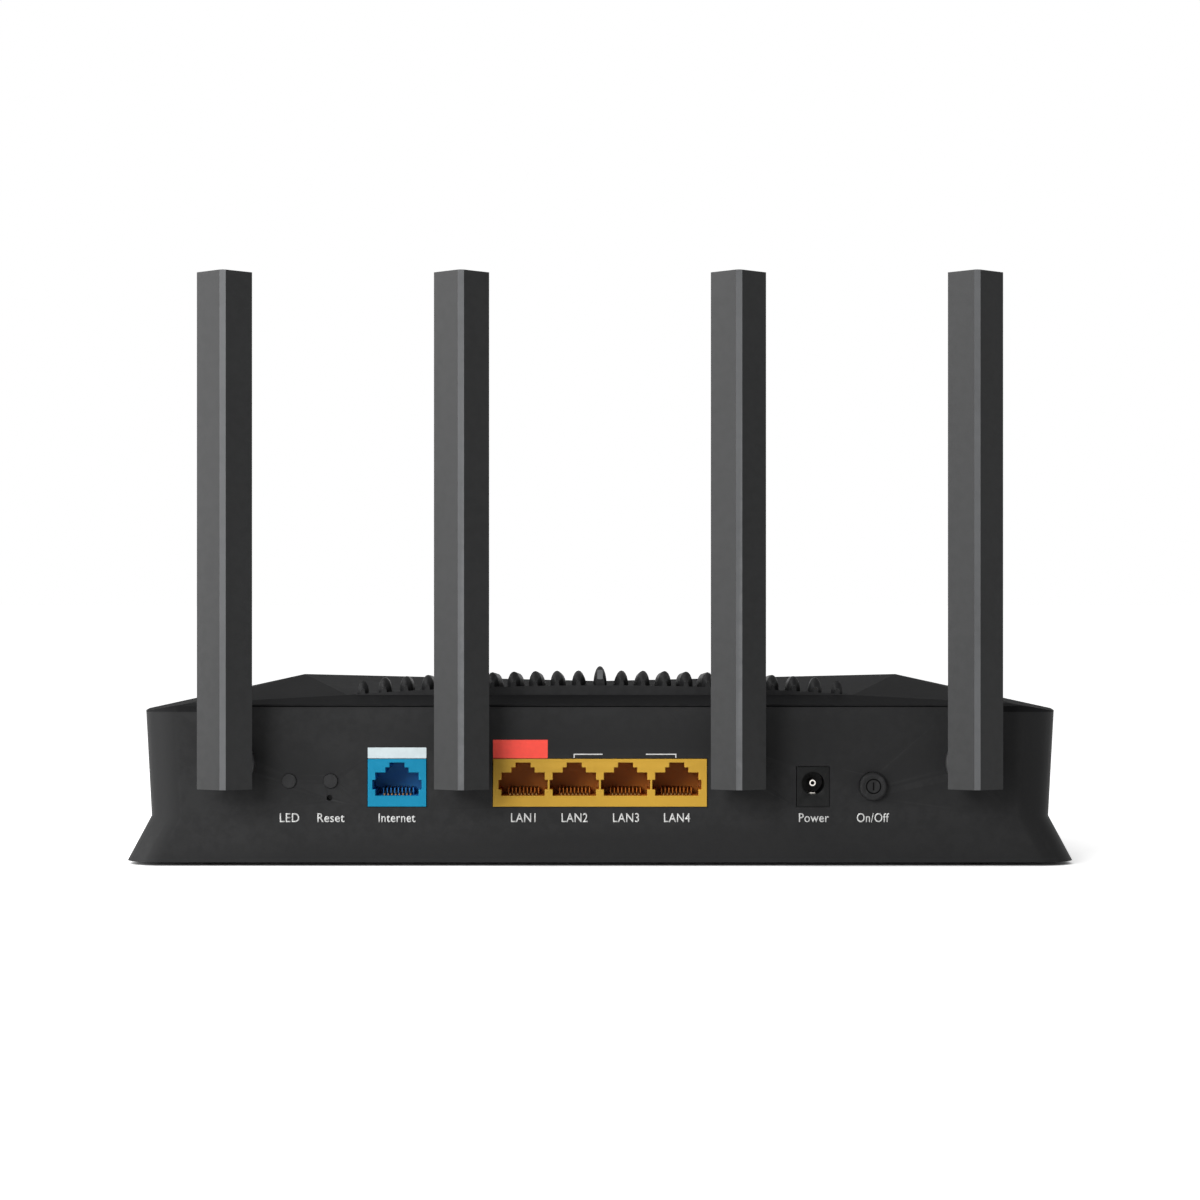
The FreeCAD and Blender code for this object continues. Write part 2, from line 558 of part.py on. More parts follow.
def make_light_guide():
    """Seven light pipes joined by a bar, from the lamps on the board to the windows in the front wall."""
    lamp_top = BOARD_TOP + 0.8
    pieces = [window.common(case_block(0.25)) for window in light_windows(0)]
    for x in light_xs():
        pieces.append(box(x - PIPE_WIDTH / 2, x + PIPE_WIDTH / 2, PIPE_Y, PIPE_Y + PIPE_DEPTH,
                          lamp_top + 0.2, LIGHT_Z + LIGHT_HEIGHT))
    span = light_xs()[-1] + LIGHT_WIDTH / 2
    pieces.append(box(-span, span, PIPE_Y + 0.4, PIPE_Y + PIPE_DEPTH + 0.6, LIGHT_Z, LIGHT_Z + LIGHT_HEIGHT))
    return fuse(pieces)


def make_status_lights():
    mid = PIPE_Y + PIPE_DEPTH / 2
    return [box(x - 0.8, x + 0.8, mid - 0.8, mid + 0.8, BOARD_TOP, BOARD_TOP + 0.8) for x in light_xs()]


# ---- board and electronics ----------------------------------------------------------------------
def on_board(x, y, width, length, height, lift=0.0):
    base = BOARD_TOP + lift
    return box(x - width / 2, x + width / 2, y - length / 2, y + length / 2, base, base + height)


def make_main_board():
    low = BOARD_TOP - BOARD_THICK
    points = [(-BOARD_HALF, BOARD_REAR), (BOARD_HALF, BOARD_REAR), (BOARD_HALF, BOARD_SIDE),
              (BOARD_TONGUE, BOARD_FRONT), (-BOARD_TONGUE, BOARD_FRONT), (-BOARD_HALF, BOARD_SIDE)]
    board = prism([V(x, y, low) for x, y in points], Z * BOARD_THICK)
    holes = [rod(BOARD_SCREW_R + FIT_GAP, V(x, y, low - 1), Z, BOARD_THICK + 2)
             for x, y in standoff_places()]
    return board.cut(holes)


def make_board_screws():
    screws = []
    for x, y in standoff_places():
        head = rod(BOARD_SCREW_HEAD_R, V(x, y, BOARD_TOP), Z, BOARD_SCREW_HEAD)
        shank = rod(BOARD_SCREW_R, V(x, y, BOARD_TOP - BOARD_SCREW_LENGTH), Z, BOARD_SCREW_LENGTH)
        screws.append(fuse([head, shank]))
    return screws


CAN_HEIGHT, CAN_SKIN, PAD_THICK = 3.2, 0.3, 1.0
COILS_AHEAD = 7.0             # the network coils stand this far in front of their sockets
CAN_Y = (JACK_DEPTH + COILS_AHEAD + 10.0 + BOARD_SIDE) / 2
CANS = [(-19.0, CAN_Y, 32.0, 34.0), (19.0, CAN_Y, 32.0, 34.0)]
SINK_BASE, SINK_FIN, SINK_FINS, SINK_WIDTH, SINK_LENGTH = 2.4, 12.0, 11, 76.0, 44.0


def make_shield_cans():
    cans = []
    for x, y, width, length in CANS:
        outer = on_board(x, y, width, length, CAN_HEIGHT)
        inner = on_board(x, y, width - 2 * CAN_SKIN, length - 2 * CAN_SKIN, CAN_HEIGHT - CAN_SKIN)
        cans.append(outer.cut(inner))
    return cans


def make_processor():
    return on_board(CANS[0][0], CANS[0][1], 17, 17, CAN_HEIGHT - CAN_SKIN)


def make_memory_chips():
    x, y = CANS[1][0], CANS[1][1]
    return [on_board(x - 8, y - 7, 11, 8, 1.2), on_board(x - 8, y + 7, 11, 8, 1.2),
            on_board(x + 7.5, y, 9, 12, 1.1), on_board(64, 52, 8, 6, 1.5)]


def make_thermal_pads():
    return [on_board(x, y, width - 8, length - 8, PAD_THICK, CAN_HEIGHT) for x, y, width, length in CANS]


def make_heat_sink():
    y = CANS[0][1]
    lift = CAN_HEIGHT + PAD_THICK
    fins = []
    for i in range(SINK_FINS):
        x = (i - (SINK_FINS - 1) / 2) * (SINK_WIDTH - 2) / (SINK_FINS - 1)
        fins.append(on_board(x, y, 1.6, SINK_LENGTH, SINK_FIN, lift + SINK_BASE - 0.5))
    return fuse([on_board(0, y, SINK_WIDTH, SINK_LENGTH, SINK_BASE, lift)] + fins)


def make_line_transformers():
    y = JACK_DEPTH + COILS_AHEAD
    blocks = [on_board((i - 0.5) * 2 * PORT_PITCH, y, 15, 9, 5.5) for i in range(2)]
    return blocks + [on_board(WAN_X, y, 13, 9, 5.5)]


def make_capacitors():
    rear = POWER_DEPTH + 14.5
    front = BOARD_SIDE - 8.0
    places = [(POWER_X + 2, rear, 4.0, 11.0), (POWER_X + 12, rear + 2, 4.0, 11.0),
              (POWER_X + 3, rear + 10, 3.2, 8.0), (-66, 40, 3.2, 8.0), (-58, front - 4, 3.2, 8.0),
              (60, front, 3.2, 8.0)]
    return [rod(r, V(x, y, BOARD_TOP), Z, height) for x, y, r, height in places]


def make_power_coils():
    front = BOARD_SIDE - 26.0
    return [on_board(x, y, 7, 7, 4) for x, y in ((72, 42), (82, 34), (-52, front), (54, front))]


# ---- sockets ------------------------------------------------------------------------------------
def port_cavity(x):
    """The stepped opening for one plug, its latch side up."""
    return [box(x - half, x + half, -5, PORT_DEPTH, BOARD_TOP + low, BOARD_TOP + high)
            for half, low, high in PORT_STEPS]


def lan_port_xs():
    return [(i - (PORT_COUNT - 1) / 2) * PORT_PITCH for i in range(PORT_COUNT)]


def make_jack(centre, width, ports):
    block = box(centre - width / 2, centre + width / 2, -JACK_PROUD, JACK_DEPTH,
                BOARD_TOP, BOARD_TOP + JACK_HEIGHT)
    cuts = []
    for x in ports:
        cuts += port_cavity(x)
    return block.cut(cuts)


def make_contacts(ports):
    """Spring wires that rise from each port's floor to its back wall."""
    floor = BOARD_TOP + PORT_STEPS[0][1]
    wires = []
    for port in ports:
        for i in range(CONTACT_COUNT):
            x = port + (i - (CONTACT_COUNT - 1) / 2) * CONTACT_PITCH - CONTACT_WIDTH / 2
            side = [V(x, 1.6, floor), V(x, 3.4, floor), V(x, PORT_DEPTH, floor + 1.5),
                    V(x, PORT_DEPTH, floor + 1.5 + CONTACT_THICK), V(x, 3.2, floor + CONTACT_THICK),
                    V(x, 1.6, floor + CONTACT_THICK)]
            wires.append(prism(side, X * CONTACT_WIDTH))
    return wires


def make_power_jack():
    block = box(POWER_X - POWER_WIDTH / 2, POWER_X + POWER_WIDTH / 2, -JACK_PROUD, POWER_DEPTH,
                BOARD_TOP, BOARD_TOP + POWER_HEIGHT)
    barrel = rod(BARREL_R, V(POWER_X, -5, BARREL_Z), Y, 5 + BARREL_DEPTH)
    pin_seat = rod(POWER_TAIL_R + 0.02, V(POWER_X, 0, BARREL_Z), Y, BARREL_DEPTH + POWER_TAIL)
    return block.cut([barrel, pin_seat])


def make_power_jack_pin():
    body = rod(POWER_PIN_R, V(POWER_X, POWER_PIN_START + 0.4, BARREL_Z), Y,
               BARREL_DEPTH - POWER_PIN_START - 0.4)
    nose = Part.makeCone(POWER_PIN_R * 0.6, POWER_PIN_R, 0.4, V(POWER_X, POWER_PIN_START, BARREL_Z), Y)
    tail = rod(POWER_TAIL_R, V(POWER_X, BARREL_DEPTH - 0.5, BARREL_Z), Y, POWER_TAIL + 0.5)
    return fuse([body, nose, tail])


def make_power_jack_spring():
    low = BARREL_Z - BARREL_R
    side = [V(POWER_X - 0.75, 2.5, low + 0.15), V(POWER_X - 0.75, BARREL_DEPTH, low + 0.15),
            V(POWER_X - 0.75, BARREL_DEPTH, low + 0.4), V(POWER_X - 0.75, 6.5, low + 0.7),
            V(POWER_X - 0.75, 2.5, low + 0.4)]
    return prism(side, X * 1.5)


# ---- buttons and switches -----------------------------------------------------------------------
def make_small_button(x):
    start = V(x, -SMALL_PROUD, SMALL_Z)
    cap = rod(SMALL_R, start, Y, SMALL_PROUD + WALL + FLANGE_THICK)
    flange = rod(SMALL_R + FLANGE_EXTRA, V(x, WALL, SMALL_Z), Y, FLANGE_THICK)
    stem = rod(SMALL_STEM_R, V(x, WALL, SMALL_Z), Y, SMALL_END - WALL)
    return fuse([cap, flange, stem])


SWITCH_Y, SWITCH_DEPTH, SWITCH_HALF, SWITCH_HEIGHT = WALL + 5.8, 13.0, 4.2, 9.4
STEM_HALF, STEM_DEEP, STEM_TRAVEL = 1.3, 2.5, 3.0


def make_power_button():
    x, z, r = SWITCH_BUTTON_X, SWITCH_BUTTON_Z, SWITCH_BUTTON_R
    cap = rod(r, V(x, 0, z), Y, WALL + FLANGE_THICK)
    rim = Part.makeCone(r - RIM_BEVEL, r, RIM_BEVEL, V(x, -SWITCH_PROUD, z), Y)
    neck = rod(r, V(x, -SWITCH_PROUD + RIM_BEVEL, z), Y, SWITCH_PROUD)
    flange = rod(r + FLANGE_EXTRA, V(x, WALL, z), Y, FLANGE_THICK)
    stem = box(x - STEM_HALF, x + STEM_HALF, WALL, SWITCH_Y + STEM_DEEP, z - STEM_HALF, z + STEM_HALF)
    dish = rod(r - DISH_MARGIN, V(x, -SWITCH_PROUD - 1, z), Y, 1 + DISH_DEPTH)
    return fuse([cap, rim, neck, flange, stem]).cut(dish)


def make_power_switch():
    x, z = SWITCH_BUTTON_X, SWITCH_BUTTON_Z
    body = box(x - SWITCH_HALF, x + SWITCH_HALF, SWITCH_Y, SWITCH_Y + SWITCH_DEPTH,
               BOARD_TOP, BOARD_TOP + SWITCH_HEIGHT)
    half = STEM_HALF + FIT_GAP
    return body.cut(box(x - half, x + half, 0, SWITCH_Y + STEM_DEEP + STEM_TRAVEL, z - half, z + half))


RESET_SWITCH_Y, RESET_SWITCH_DEPTH, RESET_SWITCH_HALF, RESET_SWITCH_HEIGHT = WALL + 2.0, 3.0, 2.3, 4.0
PLUNGER_END = RESET_SWITCH_Y + 1.2


def make_tact_switches():
    """Two upright switches behind the round buttons, and a low one behind the pinhole."""
    switches = []
    front = SMALL_END + TACT_GAP
    for x in SMALL_BUTTONS.values():
        body = box(x - 3, x + 3, front + 2.0, front + 5.5, BOARD_TOP, SMALL_Z + 3.2)
        tip = rod(1.5, V(x, front, SMALL_Z), Y, 2.5)
        switches.append(fuse([body, tip]))
    half = RESET_SWITCH_HALF
    low = box(RESET_X - half, RESET_X + half, RESET_SWITCH_Y, RESET_SWITCH_Y + RESET_SWITCH_DEPTH,
              BOARD_TOP, BOARD_TOP + RESET_SWITCH_HEIGHT)
    bore = rod(PLUNGER_R + RUNNING_GAP, V(RESET_X, 0, RESET_Z), Y, PLUNGER_END + 0.8)
    return switches + [low.cut(bore)]


def make_reset_plunger():
    return rod(PLUNGER_R, V(RESET_X, WALL + 0.3, RESET_Z), Y, PLUNGER_END - WALL - 0.3)


# ---- antennas, drawn at x = 0 with the fold axis through (HINGE_Y, HINGE_Z) -----------------------
def blade_section(skin):
    """Ridged six-sided outline of an antenna, moved inwards by skin. Depths are from the fold axis."""
    ridge, edge, back = RIDGE_WIDTH / 2, ANTENNA_WIDTH / 2 - skin, REAR_WIDTH / 2 - skin * 0.8
    front_y = HINGE_Y - RIDGE_REACH + skin
    side_y = HINGE_Y - SIDE_REACH
    rear_y = HINGE_Y + REAR_REACH - skin
    return [(-ridge, front_y), (ridge, front_y), (edge, side_y), (back, rear_y), (-back, rear_y),
            (-edge, side_y)]


def blade_block(skin, low, high):
    points = [V(x, y, low) for x, y in blade_section(skin)]
    return prism(points, Z * (high - low))


def blade_envelope():
    """Outer form of an antenna: peaked top, and a tail that is rounded where it turns past the wall."""
    half = ANTENNA_WIDTH / 2
    low, high = ANTENNA_TAIL, ANTENNA_TOP
    front, rear = HINGE_Y - RIDGE_REACH - 1, HINGE_Y + REAR_REACH + 1
    face = [V(-half - 1, front, low), V(half + 1, front, low), V(half + 1, front, high - TOP_SLOPE),
            V(0, front, high), V(-half - 1, front, high - TOP_SLOPE)]
    outline = prism(face, V(0, rear - front, 0))
    tail_r = HINGE_Z - ANTENNA_TAIL
    heel = rod(tail_r, V(-half - 1, HINGE_Y, HINGE_Z), X, ANTENNA_WIDTH + 2)
    above = box(-half - 1, half + 1, front, rear, HINGE_Z, high + 1)
    ahead = box(-half - 1, half + 1, front, HINGE_Y, low, HINGE_Z)
    side = fuse([heel, above, ahead])
    return blade_block(0, low, high).common(outline).common(side)


CAVITY_LOW = 6.4              # above the fold axis


def blade_cuts():
    """Cavity for the element, slot for the tongue, and the cable hole between them."""
    half = TONGUE_WIDTH / 2 + TONGUE_SIDE_GAP
    reach = TONGUE_R + TONGUE_END_GAP
    cavity = blade_block(ANTENNA_SKIN, HINGE_Z + CAVITY_LOW, ANTENNA_TOP - TOP_SLOPE - ANTENNA_SKIN)
    slot = box(-half, half, HINGE_Y - reach, HINGE_Y + REAR_REACH + 2, ANTENNA_TAIL - 1, HINGE_Z + reach)
    cable = rod(LEAD_R + FIT_GAP, V(0, HINGE_Y + cable_offset(), HINGE_Z), Z, CAVITY_LOW + 1)
    return [cavity, slot, cable]


def element_front():
    """Depth of the element board's front face from the fold axis."""
    return -0.4


def cable_offset():
    return element_front() + ELEMENT_THICK + LEAD_R


def make_front_shell():
    split = HINGE_Y - SIDE_REACH
    front = blade_envelope().common(box(-BIG, BIG, -BIG, split, -BIG, BIG))
    return front.cut(blade_cuts())


def make_rear_shell():
    split = HINGE_Y - SIDE_REACH
    rear = blade_envelope().common(box(-BIG, BIG, split, BIG, -BIG, BIG))
    pin = rod(PIN_R + PIN_PRESS, V(-PIN_HALF, HINGE_Y, HINGE_Z), X, 2 * PIN_HALF)
    return rear.cut(blade_cuts() + [pin])


def make_hinge_pin():
    return rod(PIN_R, V(-PIN_HALF, HINGE_Y, HINGE_Z), X, 2 * PIN_HALF)


def make_element_board():
    low, high = HINGE_Z + CAVITY_LOW + 6, ANTENNA_TOP - TOP_SLOPE - ANTENNA_SKIN - ELEMENT_TOP_GAP
    front = HINGE_Y + element_front()
    board = box(-ELEMENT_WIDTH / 2, ELEMENT_WIDTH / 2, front, front + ELEMENT_THICK, low, high)
    reach = ANTENNA_WIDTH / 2 - ANTENNA_SKIN - 0.9
    rests = [box(-reach, reach, front, front + ELEMENT_THICK, low + share * (high - low) - 3,
                 low + share * (high - low) + 3) for share in (0.1, 0.9)]
    return fuse([board] + rests)


def make_feed_cable():
    return rod(LEAD_R, V(0, HINGE_Y + cable_offset(), HINGE_Z + CAVITY_LOW - 1.2), Z, 24)


def make_swivel():
    wall_side = -SWIVEL_AIR
    groove_end = WALL + KEEPER_THICK + 0.1
    flange = rod(FLANGE_R, V(0, wall_side - SWIVEL_FLANGE + 0.5, HINGE_Z), Y, SWIVEL_FLANGE - 0.5)
    rim = Part.makeCone(FLANGE_R - 0.5, FLANGE_R, 0.5, V(0, wall_side - SWIVEL_FLANGE, HINGE_Z), Y)
    stem = rod(STEM_R, V(0, wall_side, HINGE_Z), Y, WALL - wall_side - 0.05)
    groove = rod(GROOVE_R, V(0, wall_side, HINGE_Z), Y, groove_end - wall_side)
    end = rod(STEM_R, V(0, groove_end, HINGE_Z), Y, STEM_END)
    half = TONGUE_WIDTH / 2
    neck = box(-half, half, HINGE_Y, wall_side - SWIVEL_FLANGE + 1, HINGE_Z - TONGUE_R, HINGE_Z + TONGUE_R)
    knuckle = rod(TONGUE_R, V(-half, HINGE_Y, HINGE_Z), X, TONGUE_WIDTH)
    swivel = fuse([flange, rim, stem, groove, end, neck, knuckle])
    pin_bore = rod(PIN_R + PIN_RUNNING, V(-BIG / 2, HINGE_Y, HINGE_Z), X, BIG)
    lead_bore = rod(LEAD_BORE_R, V(0, HINGE_Y + 3, HINGE_Z), Y, 30)
    return swivel.cut([pin_bore, lead_bore])


def make_keeper():
    slot_half = GROOVE_R + 0.1
    plate = box(-KEEPER_HALF, KEEPER_HALF, WALL, WALL + KEEPER_THICK, HINGE_Z - KEEPER_DOWN,
                HINGE_Z + KEEPER_UP)
    cuts = [rod(slot_half, V(0, 0, HINGE_Z), Y, 10),
            box(-slot_half, slot_half, 0, 10, 0, HINGE_Z)]
    cuts += [rod(STAKE_R + STAKE_GAP, V(side * STAKE_X, 0, HINGE_Z), Y, 10) for side in (-1, 1)]
    return plate.cut(cuts)


LEAD_Z = BOARD_TOP + 1.7      # height of a lead where it meets its plug
INNER_LEAD = [(INNER_X, -4, HINGE_Z), (INNER_X, 9, HINGE_Z), (39.0, 22, 27.0), (45.0, 33, 22.0),
              (48.5, 44.5, LEAD_Z), (48.5, 56, LEAD_Z)]
OUTER_LEAD = [(OUTER_X, -4, HINGE_Z), (OUTER_X, 9, HINGE_Z), (98.5, 22, 26.8), (90.5, 33, 22.0),
              (86.0, 44.5, LEAD_Z), (86.0, 56, LEAD_Z)]


def make_antenna_leads():
    leads = []
    for route in (INNER_LEAD, OUTER_LEAD):
        leads += both_sides(bent_tube([V(*p) for p in route], LEAD_R))
    return leads


def make_coax_plugs():
    plugs = []
    for route in (INNER_LEAD, OUTER_LEAD):
        x, y, z = route[-1]
        body = box(x - 1.6, x + 1.6, y, y + 4, BOARD_TOP, z + 1.2)
        plugs += both_sides(body)
    return plugs


# ---- writing ------------------------------------------------------------------------------------
def write(name, shape):
    pieces = shape if isinstance(shape, list) else [shape]
    solids = []
    for piece in pieces:
        solids += piece.Solids
    for solid in solids:
        if not solid.isValid():
            print("not valid:", name)
    group = solids[0].copy() if len(solids) == 1 else Part.makeCompound([s.copy() for s in solids])
    group.translate(V(0, -CENTRE_Y, 0))
    group.exportStep("parts/" + name + ".step")
    print(f"{name}: {len(solids)} solids, {sum(s.Volume for s in solids):.1f} mm3")


def main():
    os.makedirs("parts", exist_ok=True)
    write("main_shell", make_main_shell())
    write("top_cover", make_top_cover())
    write("rib_grille", make_rib_grille())
    write("base_plate", make_base_plate())
    write("rubber_feet", make_rubber_feet())
    write("case_screws", make_case_screws())
    write("rating_plate", make_rating_plate())
    write("light_guide", make_light_guide())
    write("status_lights", make_status_lights())
    write("main_board", make_main_board())
    write("board_screws", make_board_screws())
    write("shield_cans", make_shield_cans())
    write("processor", make_processor())
    write("memory_chips", make_memory_chips())
    write("thermal_pads", make_thermal_pads())
    write("heat_sink", make_heat_sink())
    write("line_transformers", make_line_transformers())
    write("capacitors", make_capacitors())
    write("power_coils", make_power_coils())
    write("lan_jack", make_jack(0, LAN_WIDTH, lan_port_xs()))
    write("lan_contacts", make_contacts(lan_port_xs()))
    write("wan_jack", make_jack(WAN_X, WAN_WIDTH, [WAN_X]))
    write("wan_contacts", make_contacts([WAN_X]))
    write("power_jack", make_power_jack())
    write("power_jack_pin", make_power_jack_pin())
    write("power_jack_spring", make_power_jack_spring())
    write("power_switch", make_power_switch())
    write("power_button", make_power_button())
    for name, x in SMALL_BUTTONS.items():
        write(name, make_small_button(x))
    write("tact_switches", make_tact_switches())
    write("reset_plunger", make_reset_plunger())
    write("antenna_leads", make_antenna_leads())
    write("coax_plugs", make_coax_plugs())
    write("swivel_keepers", [moved(make_keeper(), x, 0, 0) for x in ANTENNA_XS])
    antenna = {
        "swivel": make_swivel(),
        "hinge_pin": make_hinge_pin(),
        "front_shell": make_front_shell(),
        "rear_shell": make_rear_shell(),
        "element_board": make_element_board(),
        "feed_cable": make_feed_cable(),
    }
    for number, x in enumerate(ANTENNA_XS, start=1):
        for piece, shape in antenna.items():
            write(f"antenna_{number}_{piece}", moved(shape, x, 0, 0))


main()
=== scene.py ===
"""Looks of a wireless router with four folding antennas: moulded edges, finishes, sockets and words.

Everything is in metres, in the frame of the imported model: +X to the right when the socket panel is
faced, +Y from that panel to the front edge, +Z up. Sizes written in millimetres are times MM.
"""
import json
import math

import bmesh
import bpy
from mathutils import Matrix, Vector


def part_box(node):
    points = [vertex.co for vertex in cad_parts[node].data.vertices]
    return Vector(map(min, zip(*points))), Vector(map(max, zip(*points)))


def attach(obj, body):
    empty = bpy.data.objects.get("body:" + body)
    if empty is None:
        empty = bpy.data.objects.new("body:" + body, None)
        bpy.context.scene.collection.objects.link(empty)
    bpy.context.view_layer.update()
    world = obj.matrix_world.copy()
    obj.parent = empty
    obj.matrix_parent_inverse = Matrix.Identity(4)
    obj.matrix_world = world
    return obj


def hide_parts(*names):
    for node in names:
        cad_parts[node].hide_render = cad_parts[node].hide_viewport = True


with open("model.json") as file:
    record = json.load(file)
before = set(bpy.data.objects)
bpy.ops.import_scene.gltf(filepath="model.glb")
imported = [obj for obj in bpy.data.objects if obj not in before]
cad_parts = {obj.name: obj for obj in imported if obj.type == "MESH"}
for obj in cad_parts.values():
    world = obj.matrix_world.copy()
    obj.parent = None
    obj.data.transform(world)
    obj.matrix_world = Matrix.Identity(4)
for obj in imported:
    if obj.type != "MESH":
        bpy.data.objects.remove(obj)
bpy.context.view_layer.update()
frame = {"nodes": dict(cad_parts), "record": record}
NODES = frame["nodes"]
MM = 0.001
MERGE, FINE_MERGE = 0.002 * MM, 0.001 * MM    # points closer than this are one point

PANEL_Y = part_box("main_shell")[0][1]    # the socket panel's outer face
BOARD_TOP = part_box("main_board")[1][2]
ANTENNAS = (1, 2, 3, 4)


# ---- node helpers ----
def feed(tree, node, inputs):
    """Links or sets a node's inputs."""
    for key, value in dict(inputs).items():
        if isinstance(value, bpy.types.NodeSocket):
            tree.links.new(value, node.inputs[key])
        else:
            node.inputs[key].default_value = value


def adjusted(thing, settings):
    """Sets properties by name."""
    for name, value in settings.items():
        setattr(thing, name, value)
    return thing


def put(tree, kind, inputs=(), **settings):
    """Adds a node, sets its properties, and links or sets its inputs."""
    node = adjusted(tree.nodes.new(kind), settings)
    feed(tree, node, inputs)
    return node


def result(tree, kind, inputs=(), **settings):
    """The first output of a new node."""
    return put(tree, kind, inputs, **settings).outputs[0]


def new_group(name, kind, inputs, outputs):
    """An empty node group with named inputs (name, type, value) and outputs (name, type)."""
    group = bpy.data.node_groups.new(name, kind)
    for label, socket, value in inputs:
        made = group.interface.new_socket(label, in_out="INPUT", socket_type="NodeSocket" + socket)
        if value is not None:
            made.default_value = value
    for label, socket in outputs:
        group.interface.new_socket(label, in_out="OUTPUT", socket_type="NodeSocket" + socket)
    return group, group.nodes.new("NodeGroupInput"), group.nodes.new("NodeGroupOutput")


def maths(tree, operation, a, b=0.0, c=0.0):
    return result(tree, "ShaderNodeMath", {0: a, 1: b, 2: c}, operation=operation)


def times(tree, a, b):
    return maths(tree, "MULTIPLY", a, b)


def plus(tree, a, b):
    return maths(tree, "ADD", a, b)


def minus(tree, a, b):
    return maths(tree, "SUBTRACT", a, b)


def xyz(tree, x=0.0, y=0.0, z=0.0):
    return result(tree, "ShaderNodeCombineXYZ", {"X": x, "Y": y, "Z": z})


def spread(tree, value, low, high, to_low=0.0, to_high=1.0):
    """A value's stretch from low to high, spread over another stretch and clamped."""
    return result(tree, "ShaderNodeMapRange", {"Value": value, "From Min": low, "From Max": high,
                                               "To Min": to_low, "To Max": to_high})


def blend_colour(tree, share, first, second):
    node = put(tree, "ShaderNodeMix", {0: share, 6: first, 7: second}, data_type="RGBA")
    return node.outputs[2]


def noise(tree, vector, scale, detail, roughness=0.5):
    return put(tree, "ShaderNodeTexNoise", {"Vector": vector, "Scale": scale, "Detail": detail,
                                            "Roughness": roughness}).outputs["Fac"]


def grow(tree, kind, inputs=(), **settings):
    """The first output of a new Geometry Nodes node."""
    return result(tree, "GeometryNode" + kind, inputs, **settings)


def object_place(tree):
    return put(tree, "ShaderNodeTexCoord").outputs["Object"]


# ---- shared surface effects ----
def build_moulded_grain():
    """Spark-eroded tool texture: fine pits on a softer grain, with broad mottling."""
    group, start, end = new_group("moulded_grain", "ShaderNodeTree",
                                  [("Grain Scale", "Float", 1600.0), ("Mottle Scale", "Float", 45.0)],
                                  [("Height", "Float"), ("Mottle", "Float")])
    place, scale = object_place(group), start.outputs["Grain Scale"]
    fine = noise(group, place, scale, 3.0, 0.65)
    pits = put(group, "ShaderNodeTexVoronoi", {"Vector": place, "Scale": times(group, scale, 0.7)},
               feature="SMOOTH_F1")
    height = maths(group, "MULTIPLY_ADD", pits.outputs["Distance"], 0.5, fine)
    broad = noise(group, place, start.outputs["Mottle Scale"], 4.0, 0.55)
    feed(group, end, {"Height": height, "Mottle": spread(group, broad, 0.3, 0.7)})
    return group


def build_rubbed_edges():
    """Mask of outward edges, broken up so that the wear isn't even."""
    group, start, end = new_group("rubbed_edges", "ShaderNodeTree",
                                  [("From", "Float", 0.51), ("To", "Float", 0.56),
                                   ("Break Scale", "Float", 400.0)], [("Mask", "Float")])
    sharp = put(group, "ShaderNodeNewGeometry").outputs["Pointiness"]
    edge = spread(group, sharp, start.outputs["From"], start.outputs["To"])
    patches = noise(group, object_place(group), start.outputs["Break Scale"], 3.0)
    broken = spread(group, patches, 0.35, 0.6, 0.35, 1.0)
    feed(group, end, {"Mask": times(group, edge, broken)})
    return group


def build_settled_dust():
    """Thin dust on surfaces that face up."""
    group, start, end = new_group("settled_dust", "ShaderNodeTree",
                                  [("Amount", "Float", 0.2), ("Speck Scale", "Float", 900.0)],
                                  [("Mask", "Float")])
    normal = put(group, "ShaderNodeNewGeometry").outputs["Normal"]
    up = put(group, "ShaderNodeSeparateXYZ", {0: normal}).outputs["Z"]
    upward = spread(group, up, 0.4, 1.0)
    place = object_place(group)
    specks = noise(group, place, start.outputs["Speck Scale"], 2.0)
    drift = noise(group, place, 30.0, 3.0)
    thin = times(group, spread(group, specks, 0.45, 0.7), spread(group, drift, 0.4, 0.7))
    mask = times(group, times(group, thin, upward), start.outputs["Amount"])
    feed(group, end, {"Mask": mask})
    return group


def build_brushed_lines():
    """Fine lines drawn along one axis, for rolled or turned metal."""
    group, start, end = new_group("brushed_lines", "ShaderNodeTree", [("Stretch", "Vector", (1.0, 1.0, 1.0))],
                                  [("Height", "Float"), ("Shade", "Float")])
    place = result(group, "ShaderNodeMapping", {"Vector": object_place(group),
                                                "Scale": start.outputs["Stretch"]})
    lines = noise(group, place, 1.0, 4.0)
    feed(group, end, {"Height": lines, "Shade": spread(group, lines, 0.3, 0.7)})
    return group


GRAIN = build_moulded_grain()
EDGES = build_rubbed_edges()
DUST = build_settled_dust()
BRUSHED = build_brushed_lines()


def grouped(tree, group, inputs=()):
    return put(tree, "ShaderNodeGroup", inputs, node_tree=group).outputs


def bumped(tree, height, depth):
    """The surface's normal, tilted by a height map this many millimetres deep."""
    return result(tree, "ShaderNodeBump", {"Height": height, "Distance": depth * MM, "Strength": 1.0})


def blank_material(name):
    material = bpy.data.materials.new(name)
    material.use_nodes = True
    tree = material.node_tree
    shader = tree.nodes["Principled BSDF"]
    return material, tree, shader


def shaded(colour, share=1.0, lift=0.0):
    """A colour made darker or lighter, with full cover."""
    return (*[min(1.0, c * share + lift) for c in colour], 1.0)


DUST_COLOUR = (0.32, 0.31, 0.29, 1.0)
WORN_LIFT = 0.004    # rubbed edges are at least this much lighter
ROUGH_SWING = 0.02    # how far mottling changes a plastic's roughness
METAL_HOLLOW = 0.86    # how dark the hollows between brushed lines are
METAL_SWING = 0.08    # and how much rougher they are
